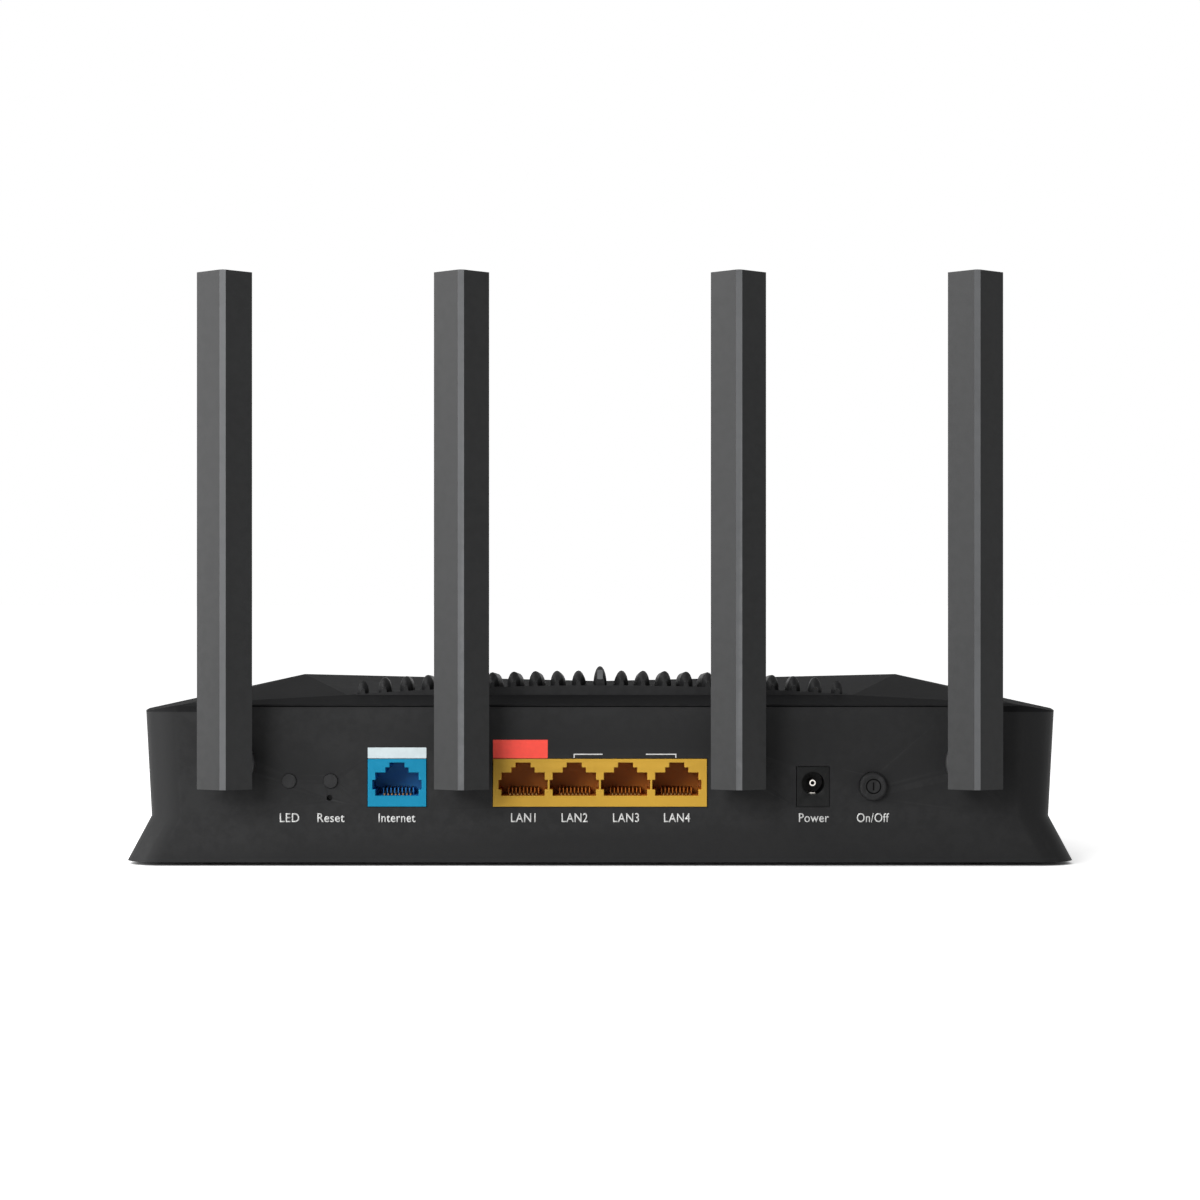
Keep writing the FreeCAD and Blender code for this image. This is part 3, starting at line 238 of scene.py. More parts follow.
# depths of metal lines, the ink's grain, the board's tracks and the light guide's frosting, in millimetres
LINE_DEPTH, INK_GRAIN_DEPTH, TRACK_DEPTH, FROST_DEPTH = 0.004, 0.004, 0.02, 0.01


def plastic(name, colour, roughness, grain=1600.0, depth=0.02, worn=1.25, dust=0.0, specular=0.5,
            mottle=0.12):
    """Injection-moulded plastic: tool grain, faint mottling, rubbed edges and a little dust."""
    material, tree, shader = blank_material(name)
    texture = grouped(tree, GRAIN, {"Grain Scale": grain})
    edge = grouped(tree, EDGES)["Mask"]
    base = blend_colour(tree, texture["Mottle"], shaded(colour, 1 - mottle), shaded(colour, 1 + mottle))
    base = blend_colour(tree, edge, base, shaded(colour, worn, WORN_LIFT))
    rough = spread(tree, texture["Mottle"], 0.0, 1.0, roughness - ROUGH_SWING, roughness + ROUGH_SWING)
    if dust:
        powder = grouped(tree, DUST, {"Amount": dust})["Mask"]
        base = blend_colour(tree, powder, base, DUST_COLOUR)
        rough = plus(tree, rough, powder)
    feed(tree, shader, {"Base Color": base, "Roughness": rough, "Specular IOR Level": specular,
                        "Normal": bumped(tree, texture["Height"], depth)})
    return material


def metal(name, colour, roughness, stretch):
    """Bare metal with fine lines along one axis and slightly darker hollows."""
    material, tree, shader = blank_material(name)
    lines = grouped(tree, BRUSHED, {"Stretch": stretch})
    base = blend_colour(tree, lines["Shade"], shaded(colour, METAL_HOLLOW), shaded(colour))
    rough = spread(tree, lines["Shade"], 0.0, 1.0, roughness + METAL_SWING, roughness)
    feed(tree, shader, {"Base Color": base, "Roughness": rough, "Metallic": 1.0,
                        "Normal": bumped(tree, lines["Height"], LINE_DEPTH)})
    return material


def ink(name, colour, roughness=0.55, specular=0.4):
    """Pad-printed ink with slightly uneven cover."""
    material, tree, shader = blank_material(name)
    texture = grouped(tree, GRAIN, {"Grain Scale": 5200.0, "Mottle Scale": 700.0})
    base = blend_colour(tree, texture["Mottle"], shaded(colour, 0.9), shaded(colour))
    feed(tree, shader, {"Base Color": base, "Roughness": roughness, "Specular IOR Level": specular,
                        "Normal": bumped(tree, texture["Height"], INK_GRAIN_DEPTH)})
    return material


def circuit_board(name):
    """Green lacquer over copper tracks on a grid, with dots of bare metal."""
    material, tree, shader = blank_material(name)
    place = object_place(tree)
    tracks = put(tree, "ShaderNodeTexBrick",
                 {"Vector": place, "Scale": 260.0, "Mortar Size": 0.06, "Color1": (0, 0, 0, 1),
                  "Color2": (0.3, 0.3, 0.3, 1), "Mortar": (1, 1, 1, 1)}, offset=0.37, squash=1.8)
    dots = put(tree, "ShaderNodeTexVoronoi", {"Vector": place, "Scale": 210.0})
    dot = spread(tree, dots.outputs["Distance"], 0.10, 0.13, 1.0, 0.0)
    base = blend_colour(tree, tracks.outputs["Color"], (0.006, 0.07, 0.035, 1), (0.012, 0.13, 0.06, 1))
    base = blend_colour(tree, dot, base, (0.62, 0.55, 0.36, 1))
    feed(tree, shader, {"Base Color": base, "Metallic": dot, "Roughness": 0.32, "Coat Weight": 0.3,
                        "Normal": bumped(tree, tracks.outputs["Color"], TRACK_DEPTH)})
    return material


def clear_plastic(name):
    """Light pipes: clear, slightly frosted at their faces."""
    material, tree, shader = blank_material(name)
    texture = grouped(tree, GRAIN, {"Grain Scale": 2600.0})
    feed(tree, shader, {"Base Color": (0.9, 0.93, 0.95, 1), "Transmission Weight": 0.85, "Roughness": 0.22,
                        "IOR": 1.49, "Normal": bumped(tree, texture["Height"], FROST_DEPTH)})
    return material


CASE = plastic("case_plastic", (0.0138, 0.0139, 0.0143), 0.55, grain=1500, depth=0.02, dust=0.006,
               specular=0.1, mottle=0.03, worn=1.1)
COVER = plastic("cover_plastic", (0.0105, 0.0106, 0.011), 0.72, grain=1500, depth=0.02, dust=0.006,
                specular=0.03, mottle=0.05)
GRILLE = plastic("grille_plastic", (0.0075, 0.0076, 0.008), 0.5, grain=2000, depth=0.012, specular=0.14)
BLADE = plastic("antenna_plastic", (0.0138, 0.0141, 0.0145), 0.42, grain=2200, depth=0.01, specular=0.2)
# painted highlight: the pale colour of the antennas' front flats, for the light they catch; the middle rib's
# end face takes it too
RIDGE = plastic("antenna_ridge_plastic", (0.083, 0.085, 0.088), 0.4, grain=2200, depth=0.01, specular=0.25)
HINGE = plastic("hinge_plastic", (0.016, 0.016, 0.0165), 0.4, grain=2400, depth=0.01, specular=0.4)
BASE = plastic("base_plastic", (0.016, 0.0162, 0.0168), 0.56, grain=1100, depth=0.03)
KEY = plastic("button_plastic", (0.0135, 0.0135, 0.014), 0.4, grain=2600, depth=0.008, specular=0.14)
SOCKET = plastic("socket_plastic", (0.004, 0.0043, 0.0043), 0.3, grain=1800, depth=0.01, specular=0.12)
SATIN = {"grain": 1700, "depth": 0.012}
YELLOW = plastic("yellow_socket_plastic", (0.47, 0.275, 0.034), 0.4, **SATIN, mottle=0.05, worn=1.08,
                 specular=0.12)
BLUE = plastic("blue_socket_plastic", (0.004, 0.19, 0.33), 0.4, **SATIN, mottle=0.05, worn=1.1, specular=0.12)
# painted shade: darker colours for the walls and guides deep inside the ports, where shade falls
YELLOW_PAINTED_SHADE = plastic("yellow_socket_painted_shade", (0.42, 0.13, 0.014), 0.45, **SATIN, specular=0.15)
BLUE_PAINTED_SHADE = plastic("blue_socket_painted_shade", (0.02, 0.16, 0.42), 0.45, **SATIN, specular=0.15)
RUBBER = plastic("foot_rubber", (0.02, 0.0195, 0.019), 0.78, grain=900, depth=0.05, worn=1.6)
CHIP = plastic("chip_resin", (0.02, 0.02, 0.021), 0.5, grain=3000, depth=0.01)
PAD = plastic("thermal_pad", (0.22, 0.32, 0.45), 0.8, grain=1200, depth=0.04)
CABLE = plastic("cable_jacket", (0.03, 0.03, 0.031), 0.42, grain=2400, depth=0.008)
PAPER = plastic("bare_label", (0.55, 0.55, 0.53), 0.6, grain=2600, depth=0.008, mottle=0.03, worn=1.0)
LAMP = plastic("lamp_lens", (0.78, 0.74, 0.45), 0.25, grain=3000, depth=0.004, mottle=0.04)
STEEL = metal("screw_steel", (0.56, 0.55, 0.53), 0.3, (900.0, 900.0, 6000.0))
TIN = metal("tinned_steel", (0.66, 0.65, 0.62), 0.34, (5000.0, 300.0, 5000.0))
ALUMINIUM = metal("aluminium", (0.72, 0.73, 0.74), 0.36, (6000.0, 260.0, 6000.0))
# painted shade: the contacts' gold is far darker than bright plating, for the shade deep in the ports
GOLD_IN_PAINTED_SHADE = metal("gold_plate_painted_shade", (0.27, 0.15, 0.052), 0.38, (300.0, 6000.0, 6000.0))
NICKEL = metal("nickel_plate", (0.74, 0.71, 0.66), 0.18, (3000.0, 400.0, 3000.0))
BOARD = circuit_board("circuit_board")
CLEAR = clear_plastic("clear_plastic")
WHITE_INK = ink("white_ink", (0.62, 0.62, 0.61))
WHITE_FILM = ink("white_film", (0.535, 0.61, 0.63), 0.42)
RED_FILM = ink("red_film", (0.93, 0.065, 0.04), 0.42)
GREY_INK = ink("grey_ink", (0.002, 0.002, 0.002), 0.6, 0.02)


# ---- mesh helpers ----
def stood(name, data):
    """A new object of this data, in the scene."""
    thing = bpy.data.objects.new(name, data)
    bpy.context.scene.collection.objects.link(thing)
    return thing


def add_piece(name, mesh, material, body):
    """A finished piece: at the origin, with its place in its mesh, riding on a body."""
    piece = stood(name, mesh)
    mesh.materials.clear()
    mesh.materials.append(material)
    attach(piece, body)
    return piece


def modify(holder, kind, **settings):
    return adjusted(holder.modifiers.new(kind.lower(), kind), settings)


def applied(piece):
    """The evaluated mesh of an object, as a plain mesh. The object itself is removed."""
    view = bpy.context.evaluated_depsgraph_get()
    mesh = bpy.data.meshes.new_from_object(piece.evaluated_get(view))
    bpy.data.objects.remove(piece)
    return mesh


def smooth(mesh, degrees):
    mesh.shade_smooth()
    mesh.set_sharp_from_angle(angle=math.radians(degrees))


EDGE_ANGLE = math.radians(28)    # corners sharper than this are rounded
RIDGE_ANGLE = math.radians(3)    # and so are ridges between faces that look up
RIDGE_UP = 0.4


def mark_edges(mesh):
    """Gives every corner and roof ridge a bevel weight of one."""
    shape = bmesh.new()
    shape.from_mesh(mesh)
    weight = shape.edges.layers.float.new("bevel_weight_edge")
    for edge in shape.edges:
        if len(edge.link_faces) != 2:
            continue
        angle = edge.calc_face_angle()
        lowest = min(face.normal.z for face in edge.link_faces)
        if angle > EDGE_ANGLE or (angle > RIDGE_ANGLE and lowest > RIDGE_UP):
            edge[weight] = 1.0
    shape.to_mesh(mesh)
    shape.free()


def rounded_mesh(mesh, width, segments):
    """The mesh with its corners and ridges rounded and its flat faces shaded flat."""
    mark_edges(mesh)
    holder = stood("rounding", mesh)
    mesh.shade_smooth()
    modify(holder, "BEVEL", width=width, segments=segments, limit_method="WEIGHT", miter_outer="MITER_ARC",
           use_clamp_overlap=True, face_strength_mode="FSTR_ALL")
    modify(holder, "WEIGHTED_NORMAL", mode="FACE_AREA", keep_sharp=True, use_face_influence=True)
    return applied(holder)


def merged_shape(node):
    """An open copy of a CAD node's mesh, with its doubled points merged."""
    shape = bmesh.new()
    shape.from_mesh(NODES[node].data)
    bmesh.ops.remove_doubles(shape, verts=shape.verts, dist=MERGE)
    return shape


def node_mesh(node):
    shape = merged_shape(node)
    mesh = bpy.data.meshes.new(node + "_merged")
    shape.to_mesh(mesh)
    shape.free()
    return mesh


def body_holding(node):
    for body, members in frame["record"]["behaviour"]["bodies"].items():
        if node in members:
            return body
    return None


def rounded_node(node, material, width, segments=3):
    """Stands for a CAD node: the same form with moulded, rounded edges."""
    mesh = rounded_mesh(node_mesh(node), width * MM, segments)
    piece = add_piece(node + "_moulded", mesh, material, body_holding(node))
    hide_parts(node)
    return piece


def finish_node(node, material):
    """A CAD node that keeps its own mesh and gets its finish."""
    data = NODES[node].data
    data.materials.clear()
    data.materials.append(material)


def mesh_from(name, points, faces):
    mesh = bpy.data.meshes.new(name)
    mesh.from_pydata([tuple(p) for p in points], [], faces)
    mesh.validate()
    return mesh


def oriented(mesh):
    """Merges doubles and turns all faces outward."""
    shape = bmesh.new()
    shape.from_mesh(mesh)
    bmesh.ops.remove_doubles(shape, verts=shape.verts, dist=FINE_MERGE)
    bmesh.ops.recalc_face_normals(shape, faces=shape.faces)
    shape.to_mesh(mesh)
    shape.free()
    return mesh


def plate_mesh(outline, depth):
    """A closed flat plate on the socket panel: outline points are (x, z), depth stands out of it."""
    count = len(outline)
    points = [(x, PANEL_Y - depth, z) for x, z in outline] + [(x, PANEL_Y + depth, z) for x, z in outline]
    faces = [list(range(count)), list(range(2 * count - 1, count - 1, -1))]
    for i in range(count):
        after = (i + 1) % count
        faces.append([i, i + count, after + count, after])
    return oriented(mesh_from("plate", points, faces))


def rectangle(x0, x1, z0, z1, radius=0.0, steps=4):
    """Corner points of a rectangle with rounded corners."""
    if radius == 0:
        return [(x0, z0), (x1, z0), (x1, z1), (x0, z1)]
    points = []
    corners = [(x1 - radius, z0 + radius, -90), (x1 - radius, z1 - radius, 0), (x0 + radius, z1 - radius, 90),
               (x0 + radius, z0 + radius, 180)]
    for x, z, first in corners:
        for i in range(steps + 1):
            angle = math.radians(first + 90 * i / steps)
            points.append((x + radius * math.cos(angle), z + radius * math.sin(angle)))
    return points


def joined(meshes):
    """Several meshes as one."""
    shape = bmesh.new()
    for mesh in meshes:
        shape.from_mesh(mesh)
    whole = bpy.data.meshes.new("joined")
    shape.to_mesh(whole)
    shape.free()
    return whole


def block_mesh(low, high):
    points = [(x, y, z) for x in (low[0], high[0]) for y in (low[1], high[1]) for z in (low[2], high[2])]
    faces = [[0, 1, 3, 2], [4, 6, 7, 5], [0, 4, 5, 1], [2, 3, 7, 6], [0, 2, 6, 4], [1, 5, 7, 3]]
    return oriented(mesh_from("block", points, faces))


def without_block(mesh, low, high):
    """The mesh with a box-shaped notch cut out of it."""
    holder, tool = stood("notched", mesh), stood("notch", block_mesh(low, high))
    modify(holder, "BOOLEAN", operation="DIFFERENCE", solver="EXACT", object=tool)
    mesh = applied(holder)
    bpy.data.objects.remove(tool)
    return mesh


def middle_of(box):
    return [(low + high) / 2 for low, high in zip(*box)]


def island_boxes(node):
    """Lowest and highest corners of each separate solid in a CAD node."""
    shape = merged_shape(node)
    left, boxes = set(shape.verts), []
    while left:
        seed = left.pop()
        stack, island = [seed], [seed]
        while stack:
            for edge in stack.pop().link_edges:
                for vert in edge.verts:
                    if vert in left:
                        left.remove(vert)
                        stack.append(vert)
                        island.append(vert)
        low = [min(v.co[k] for v in island) for k in range(3)]
        high = [max(v.co[k] for v in island) for k in range(3)]
        boxes.append((low, high))
    shape.free()
    return sorted(boxes)


def finish_tree(tree, start, end, geometry):
    """Makes the instances real, gives them their material and hands them out."""
    real = grow(tree, "RealizeInstances", {0: geometry})
    painted = grow(tree, "SetMaterial", {"Geometry": real, "Material": start.outputs["Material"]})
    feed(tree, end, {"Geometry": painted})
    return tree


def new_tree(name, *inputs):
    """A Geometry Nodes tree with these inputs before its material."""
    return new_group(name, "GeometryNodeTree", [*inputs, ("Material", "Material", None)],
                     [("Geometry", "Geometry")])


def build_copies():
    """Copies of one piece at every point of the seed mesh."""
    tree, start, end = new_tree("copies", ("Places", "Geometry", None), ("Piece", "Object", None))
    piece = put(tree, "GeometryNodeObjectInfo", {"Object": start.outputs["Piece"]})
    copies = grow(tree, "InstanceOnPoints", {"Points": start.outputs["Places"],
                                             "Instance": piece.outputs["Geometry"]})
    return finish_tree(tree, start, end, copies)


def turned(profile, steps=40):
    """A closed turned form about the z axis. Profile points are (radius, z), from axis to axis."""
    points, faces, rings = [], [], []
    for radius, z in profile:
        if radius == 0:
            rings.append([len(points)])
            points.append((0, 0, z))
        else:
            rings.append(list(range(len(points), len(points) + steps)))
            for i in range(steps):
                angle = 2 * math.pi * i / steps
                points.append((radius * math.cos(angle), radius * math.sin(angle), z))
    for below, above in zip(rings, rings[1:]):
        for i in range(steps):
            after = (i + 1) % steps
            corners = [below[i % len(below)], below[after % len(below)], above[after % len(above)],
                       above[i % len(above)]]
            faces.append(list(dict.fromkeys(corners)))
    return oriented(mesh_from("turned", points, faces))


def copies_at(tree, mesh, places, material):
    """One mesh with a copy of a form at each place."""
    form = stood("form", mesh)
    copies = grown(tree, {"Piece": form, "Material": material}, places)
    bpy.data.objects.remove(form)
    return copies


# ---- ribbed field ----
RIBS = 23
RIB_PITCH, RIB_WIDTH, RIB_HEIGHT, CENTRE_EXTRA = 5.93 * MM, 3.7 * MM, 4.15 * MM, 1.2 * MM
FIELD_Y = PANEL_Y + 8.0 * MM
FIELD_HALF, FIELD_LENGTH = 69.5 * MM, 96.9 * MM
FIELD_EDGE_Z, CROWN_Z, CROWN_FALL = 46.4 * MM, 49.05 * MM, 0.0318
FIT_GAP = 0.2 * MM
VENT_WIDTH, VENT_MARGIN = 1.3 * MM, 6.0 * MM
SKIN_DROP, SKIN_THICK = 2.6 * MM, 1.5 * MM
RIB_STEPS, SECTION_STEPS = 25, 20
NOSE_RUN, NOSE_SHARE = 2.6 * MM, 0.34    # the blunt end over the socket panel
TAPER_SHARE, TAPER_MOST, TIP_SHARE = 0.4, 6.0 * MM, 0.22    # the long fine end
ARCH_POWER, RIB_ROOT = 0.95, 0.9 * MM
RIB_ANGLE, SKIN_ANGLE, WIRE_ANGLE, TURNED_ANGLE, THREAD_ANGLE = 40, 30, 50, 35, 30    # shading, degrees


def position(tree):
    return put(tree, "ShaderNodeSeparateXYZ", {0: grow(tree, "InputPosition")}).outputs


def build_rib_rows():
    """Ribs side by side on an arched, falling field whose far edges meet in a point."""
    sizes = ("Pitch", "Width", "Height", "Field Half", "Field Length", "Rear", "Crown", "Arch Radius", "Fall",
             "Gap", "Middle Extra")
    tree, start, end = new_tree("rib_rows", ("Geometry", "Geometry", None), ("Count", "Int", RIBS),
                                *((size, "Float", 0.0) for size in sizes))
    value = start.outputs
    half_width = times(tree, value["Width"], 0.5)
    breadth = times(tree, minus(tree, value["Count"], 1.0), value["Pitch"])
    row = grow(tree, "MeshLine", {"Count": value["Count"],
                                  "Start Location": xyz(tree, times(tree, breadth, -0.5)),
                                  "Offset": xyz(tree, value["Pitch"])})
    unit = grow(tree, "CurvePrimitiveLine", {"Start": (0, 0, 0), "End": (0, 1, 0)})
    fine = grow(tree, "ResampleCurve", {"Curve": unit, "Count": RIB_STEPS})
    lines = grow(tree, "InstanceOnPoints", {"Points": row, "Instance": fine})
    ribs = grow(tree, "RealizeInstances", {0: lines})
    # the distance of each rib from the middle, and how far the field reaches there
    here = position(tree)
    off = maths(tree, "ABSOLUTE", here["X"])
    used = maths(tree, "DIVIDE", plus(tree, off, half_width), value["Field Half"])
    length = minus(tree, times(tree, minus(tree, 1.0, used), value["Field Length"]),
                   times(tree, value["Gap"], 3.0))
    # points crowd towards both ends, where the rib is shaped
    wave = maths(tree, "COSINE", times(tree, here["Y"], math.pi))
    run = times(tree, maths(tree, "MULTIPLY_ADD", wave, -0.5, 0.5), length)
    y = plus(tree, plus(tree, run, value["Rear"]), value["Gap"])
    drop = maths(tree, "DIVIDE", times(tree, here["X"], here["X"]), times(tree, value["Arch Radius"], 2.0))
    z = minus(tree, minus(tree, value["Crown"], drop), times(tree, run, value["Fall"]))
    # bullet nose at the rear and a long taper at the front, in shares of the rib's own height
    nose = spread(tree, run, 0.0, NOSE_RUN, NOSE_SHARE, 1.0)
    nose.node.interpolation_type = "SMOOTHERSTEP"
    taper = maths(tree, "MINIMUM", times(tree, length, TAPER_SHARE), TAPER_MOST)
    ahead = maths(tree, "DIVIDE", minus(tree, length, run), taper)
    swell = maths(tree, "MINIMUM", nose, spread(tree, ahead, 0.0, 1.0, TIP_SHARE, 1.0))
    middle = result(tree, "FunctionNodeCompare", {"A": off, "B": times(tree, value["Pitch"], 0.5)},
                    data_type="FLOAT", operation="LESS_THAN")
    boost = times(tree, middle, maths(tree, "DIVIDE", value["Middle Extra"], value["Height"]))
    for name, amount in (("swell", swell), ("boost", boost)):
        ribs = grow(tree, "StoreNamedAttribute", {"Geometry": ribs, "Name": name, "Value": amount},
                    data_type="FLOAT", domain="POINT")
    ribs = grow(tree, "SetPosition", {"Geometry": ribs, "Position": xyz(tree, here["X"], y, z)})
    ribs = grow(tree, "SetCurveNormal", {"Curve": ribs}, mode="Z_UP")
    # section: a pointed arch with a short root, drawn head down because a level curve turns it over
    arch = grow(tree, "CurvePrimitiveCircle", {"Resolution": SECTION_STEPS, "Radius": 1.0}, mode="RADIUS")
    point = position(tree)
    tall = maths(tree, "POWER", maths(tree, "MAXIMUM", point["Y"], 0.0), ARCH_POWER)
    down = times(tree, maths(tree, "MINIMUM", point["Y"], 0.0), RIB_ROOT)
    low = times(tree, plus(tree, times(tree, tall, value["Height"]), down), -1.0)
    section = grow(tree, "SetPosition", {"Geometry": arch,
                                         "Position": xyz(tree, times(tree, point["X"], half_width), low)})
    scale = grow(tree, "InputNamedAttribute", {"Name": "swell"}, data_type="FLOAT")
    ribs = grow(tree, "CurveToMesh", {"Curve": ribs, "Profile Curve": section, "Fill Caps": True,
                                      "Scale": scale})
    # the middle rib is lifted to its greater height above the field
    spot = position(tree)
    along = times(tree, minus(tree, spot["Y"], value["Rear"]), value["Fall"])
    above = maths(tree, "MAXIMUM", minus(tree, spot["Z"], minus(tree, value["Crown"], along)), 0.0)
    share = grow(tree, "InputNamedAttribute", {"Name": "boost"}, data_type="FLOAT")
    ribs = grow(tree, "SetPosition", {"Geometry": ribs, "Offset": xyz(tree, z=times(tree, above, share))})
    return finish_tree(tree, start, end, ribs)


def grown(tree, settings, seed=()):
    """The plain mesh that a Geometry Nodes tree makes with these named inputs, from seed points."""
    holder = stood("grown", mesh_from("seed", seed, []))
    modifier = modify(holder, "NODES", node_group=tree)
    for item in tree.interface.items_tree:
        if item.in_out == "INPUT" and item.name in settings:
            modifier[item.identifier] = settings[item.name]
    return applied(holder)


def arch_radius():
    rise = CROWN_Z - FIELD_EDGE_Z
    return (FIELD_HALF ** 2 + rise ** 2) / (2 * rise)


def crown_height(x, y):
    return CROWN_Z - x * x / (2 * arch_radius()) - CROWN_FALL * (y - FIELD_Y)


def field_edge(x):
    return FIELD_Y + FIELD_LENGTH * (1 - abs(x) / FIELD_HALF)


def make_grille_skin():
    """The arched plate under the ribs, open between them, with its rear gable."""
    offsets = (-RIB_WIDTH / 2, RIB_WIDTH / 2, (RIB_PITCH - VENT_WIDTH) / 2, (RIB_PITCH + VENT_WIDTH) / 2)
    lines = {round((i - RIBS // 2) * RIB_PITCH + offset, 7) for i in range(RIBS) for offset in offsets}
    limit = FIELD_HALF - 3 * FIT_GAP
    xs = [-limit] + sorted(x for x in lines if abs(x) < limit) + [limit]
    rear, slot_start = FIELD_Y + FIT_GAP, FIELD_Y + VENT_MARGIN
    points, faces, grid = [], [], []
    for x in xs:
        tip = max(field_edge(x) - 2 * FIT_GAP, rear + 0.02 * MM)
        slot_end = max(field_edge(abs(x) + VENT_WIDTH) - VENT_MARGIN, rear + 0.5 * (tip - rear))
        begin = min(slot_start, rear + 0.4 * (tip - rear))
        grid.append(len(points))
        points.append((x, rear, FIELD_EDGE_Z - SKIN_DROP))
        points.extend((x, y, crown_height(x, y)) for y in (rear, begin, max(slot_end, begin), tip))
        points.append((x, tip, crown_height(x, tip) - SKIN_DROP))
    for a, b, x, after in zip(grid, grid[1:], xs, xs[1:]):
        centre = (x + after) / 2
        place = (centre / RIB_PITCH) % 1.0
        slot_length = field_edge(abs(centre) + VENT_WIDTH) - VENT_MARGIN - slot_start
        open_here = abs(place - 0.5) * RIB_PITCH < VENT_WIDTH / 2 and slot_length > VENT_MARGIN
        for k in range(5):
            if not (open_here and k == 2):
                faces.append([a + k, b + k, b + k + 1, a + k + 1])
    holder = stood("skin", mesh_from("grille_skin", points, faces))
    modify(holder, "SOLIDIFY", thickness=SKIN_THICK, offset=-1)
    mesh = applied(holder)
    smooth(mesh, SKIN_ANGLE)
    return mesh


MIDDLE_TIP = CROWN_Z + RIB_HEIGHT + CENTRE_EXTRA
MIDDLE_END = FIELD_Y + 1.5 * MM    # the middle rib's flat end
MIDDLE_LOW = (-RIB_WIDTH / 2, FIELD_Y - 1.0 * MM, CROWN_Z - 0.2 * MM)
MIDDLE_HIGH = (RIB_WIDTH / 2, MIDDLE_END, MIDDLE_TIP + 1.0 * MM)
FACE_HALF, FACE_ROUND, FACE_DEPTH = 0.75 * MM, 0.3 * MM, 0.15 * MM
FACE_LOW, FACE_HIGH = MIDDLE_TIP - 3.7 * MM, MIDDLE_TIP - 1.1 * MM


def make_grille():
    ribs = grown(build_rib_rows(), {
        "Count": RIBS, "Pitch": RIB_PITCH, "Width": RIB_WIDTH, "Height": RIB_HEIGHT, "Rear": FIELD_Y,
        "Field Half": FIELD_HALF, "Field Length": FIELD_LENGTH, "Crown": CROWN_Z, "Fall": CROWN_FALL,
        "Arch Radius": arch_radius(), "Gap": FIT_GAP, "Middle Extra": CENTRE_EXTRA, "Material": GRILLE})
    ribs = without_block(oriented(ribs), MIDDLE_LOW, MIDDLE_HIGH)
    smooth(ribs, RIB_ANGLE)
    piece = add_piece("grille_ribs", ribs, GRILLE, "case")
    add_piece("grille_skin", make_grille_skin(), GRILLE, "case")
    face = plate_mesh(rectangle(-FACE_HALF, FACE_HALF, FACE_LOW, FACE_HIGH, FACE_ROUND), FACE_DEPTH)
    face.transform(Matrix.Translation((0, MIDDLE_END - PANEL_Y, 0)))
    add_piece("grille_middle_face", face, RIDGE, "case")
    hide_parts("rib_grille")


# ---- socket contacts ----
CONTACT_PITCH = 1.02 * MM
CONTACTS = 8
PORT_DEPTH = 13.0 * MM
PORT_FLOOR = BOARD_TOP + 3.0 * MM
PORT_RISE = 9.2 * MM
PORT_HALF = 6.8 * MM
PORT_PITCH = 13.97 * MM
PORT_SLACK = 0.2 * MM
WIRE_START, WIRE_END = (1.8 * MM, 0.25 * MM), 2.0 * MM    # from the panel and floor; to the back
WIRE_RISE, WIRE_RADIUS, WIRE_KNEE = 1.5 * MM, 0.22 * MM, 0.16
GUIDE_WIDE, GUIDE_LONG, GUIDE_TALL = 0.3 * MM, 7.0 * MM, 1.85 * MM
GUIDE_BITE = (0.1 * MM, 0.05 * MM)    # into the port's back and floor


def build_row(name, inputs, build_unit):
    """Copies of a unit, one after another across a port."""
    tree, start, end = new_tree(name, ("Geometry", "Geometry", None), ("Count", "Int", CONTACTS),
                                ("Pitch", "Float", 0.0), ("Centre", "Vector", None), *inputs)
    value = start.outputs
    half = times(tree, minus(tree, value["Count"], 1.0), -0.5)
    first = xyz(tree, times(tree, half, value["Pitch"]))
    origin = result(tree, "ShaderNodeVectorMath", {0: first, 1: value["Centre"]}, operation="ADD")
    row = grow(tree, "MeshLine", {"Count": value["Count"], "Start Location": origin,
                                  "Offset": xyz(tree, value["Pitch"])})
    copies = grow(tree, "InstanceOnPoints", {"Points": row, "Instance": build_unit(tree, value)})
    return finish_tree(tree, start, end, copies)


def spring_wire(tree, value):
    """A round wire that lies on the port's floor and bends up towards the back."""
    knee = xyz(tree, y=times(tree, value["Depth"], WIRE_KNEE))
    back = xyz(tree, y=value["Depth"], z=value["Rise"])
    wire = grow(tree, "CurvePrimitiveBezierSegment",
                {"Resolution": 12, "Start": (0, 0, 0), "Start Handle": knee, "End Handle": knee, "End": back},
                mode="POSITION")
    ring = grow(tree, "CurvePrimitiveCircle", {"Resolution": 8, "Radius": value["Wire"]}, mode="RADIUS")
    return grow(tree, "CurveToMesh", {"Curve": wire, "Profile Curve": ring, "Fill Caps": True})


def guide_wall(tree, value):
    return grow(tree, "MeshCube", {"Size": value["Wall Size"]})


def make_comb(tree, name, jack, count, material):
    """Guide walls that rise from each port's floor between its wires, towards the back, in the ports' painted
    shade colour.
    """
    y = PANEL_Y + PORT_DEPTH - GUIDE_LONG / 2 + GUIDE_BITE[0]
    z = PORT_FLOOR + GUIDE_TALL / 2 - GUIDE_BITE[1]
    walls = [grown(tree, {"Count": CONTACTS + 1, "Pitch": CONTACT_PITCH, "Centre": (x, y, z),
                          "Wall Size": (GUIDE_WIDE, GUIDE_LONG, GUIDE_TALL), "Material": material})
             for x in port_centres(jack, count)]
    add_piece(name, joined(walls), material, "case")


def port_centres(node, count):
    middle = middle_of(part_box(node))[0]
    return [middle + (i - (count - 1) / 2) * PORT_PITCH for i in range(count)]


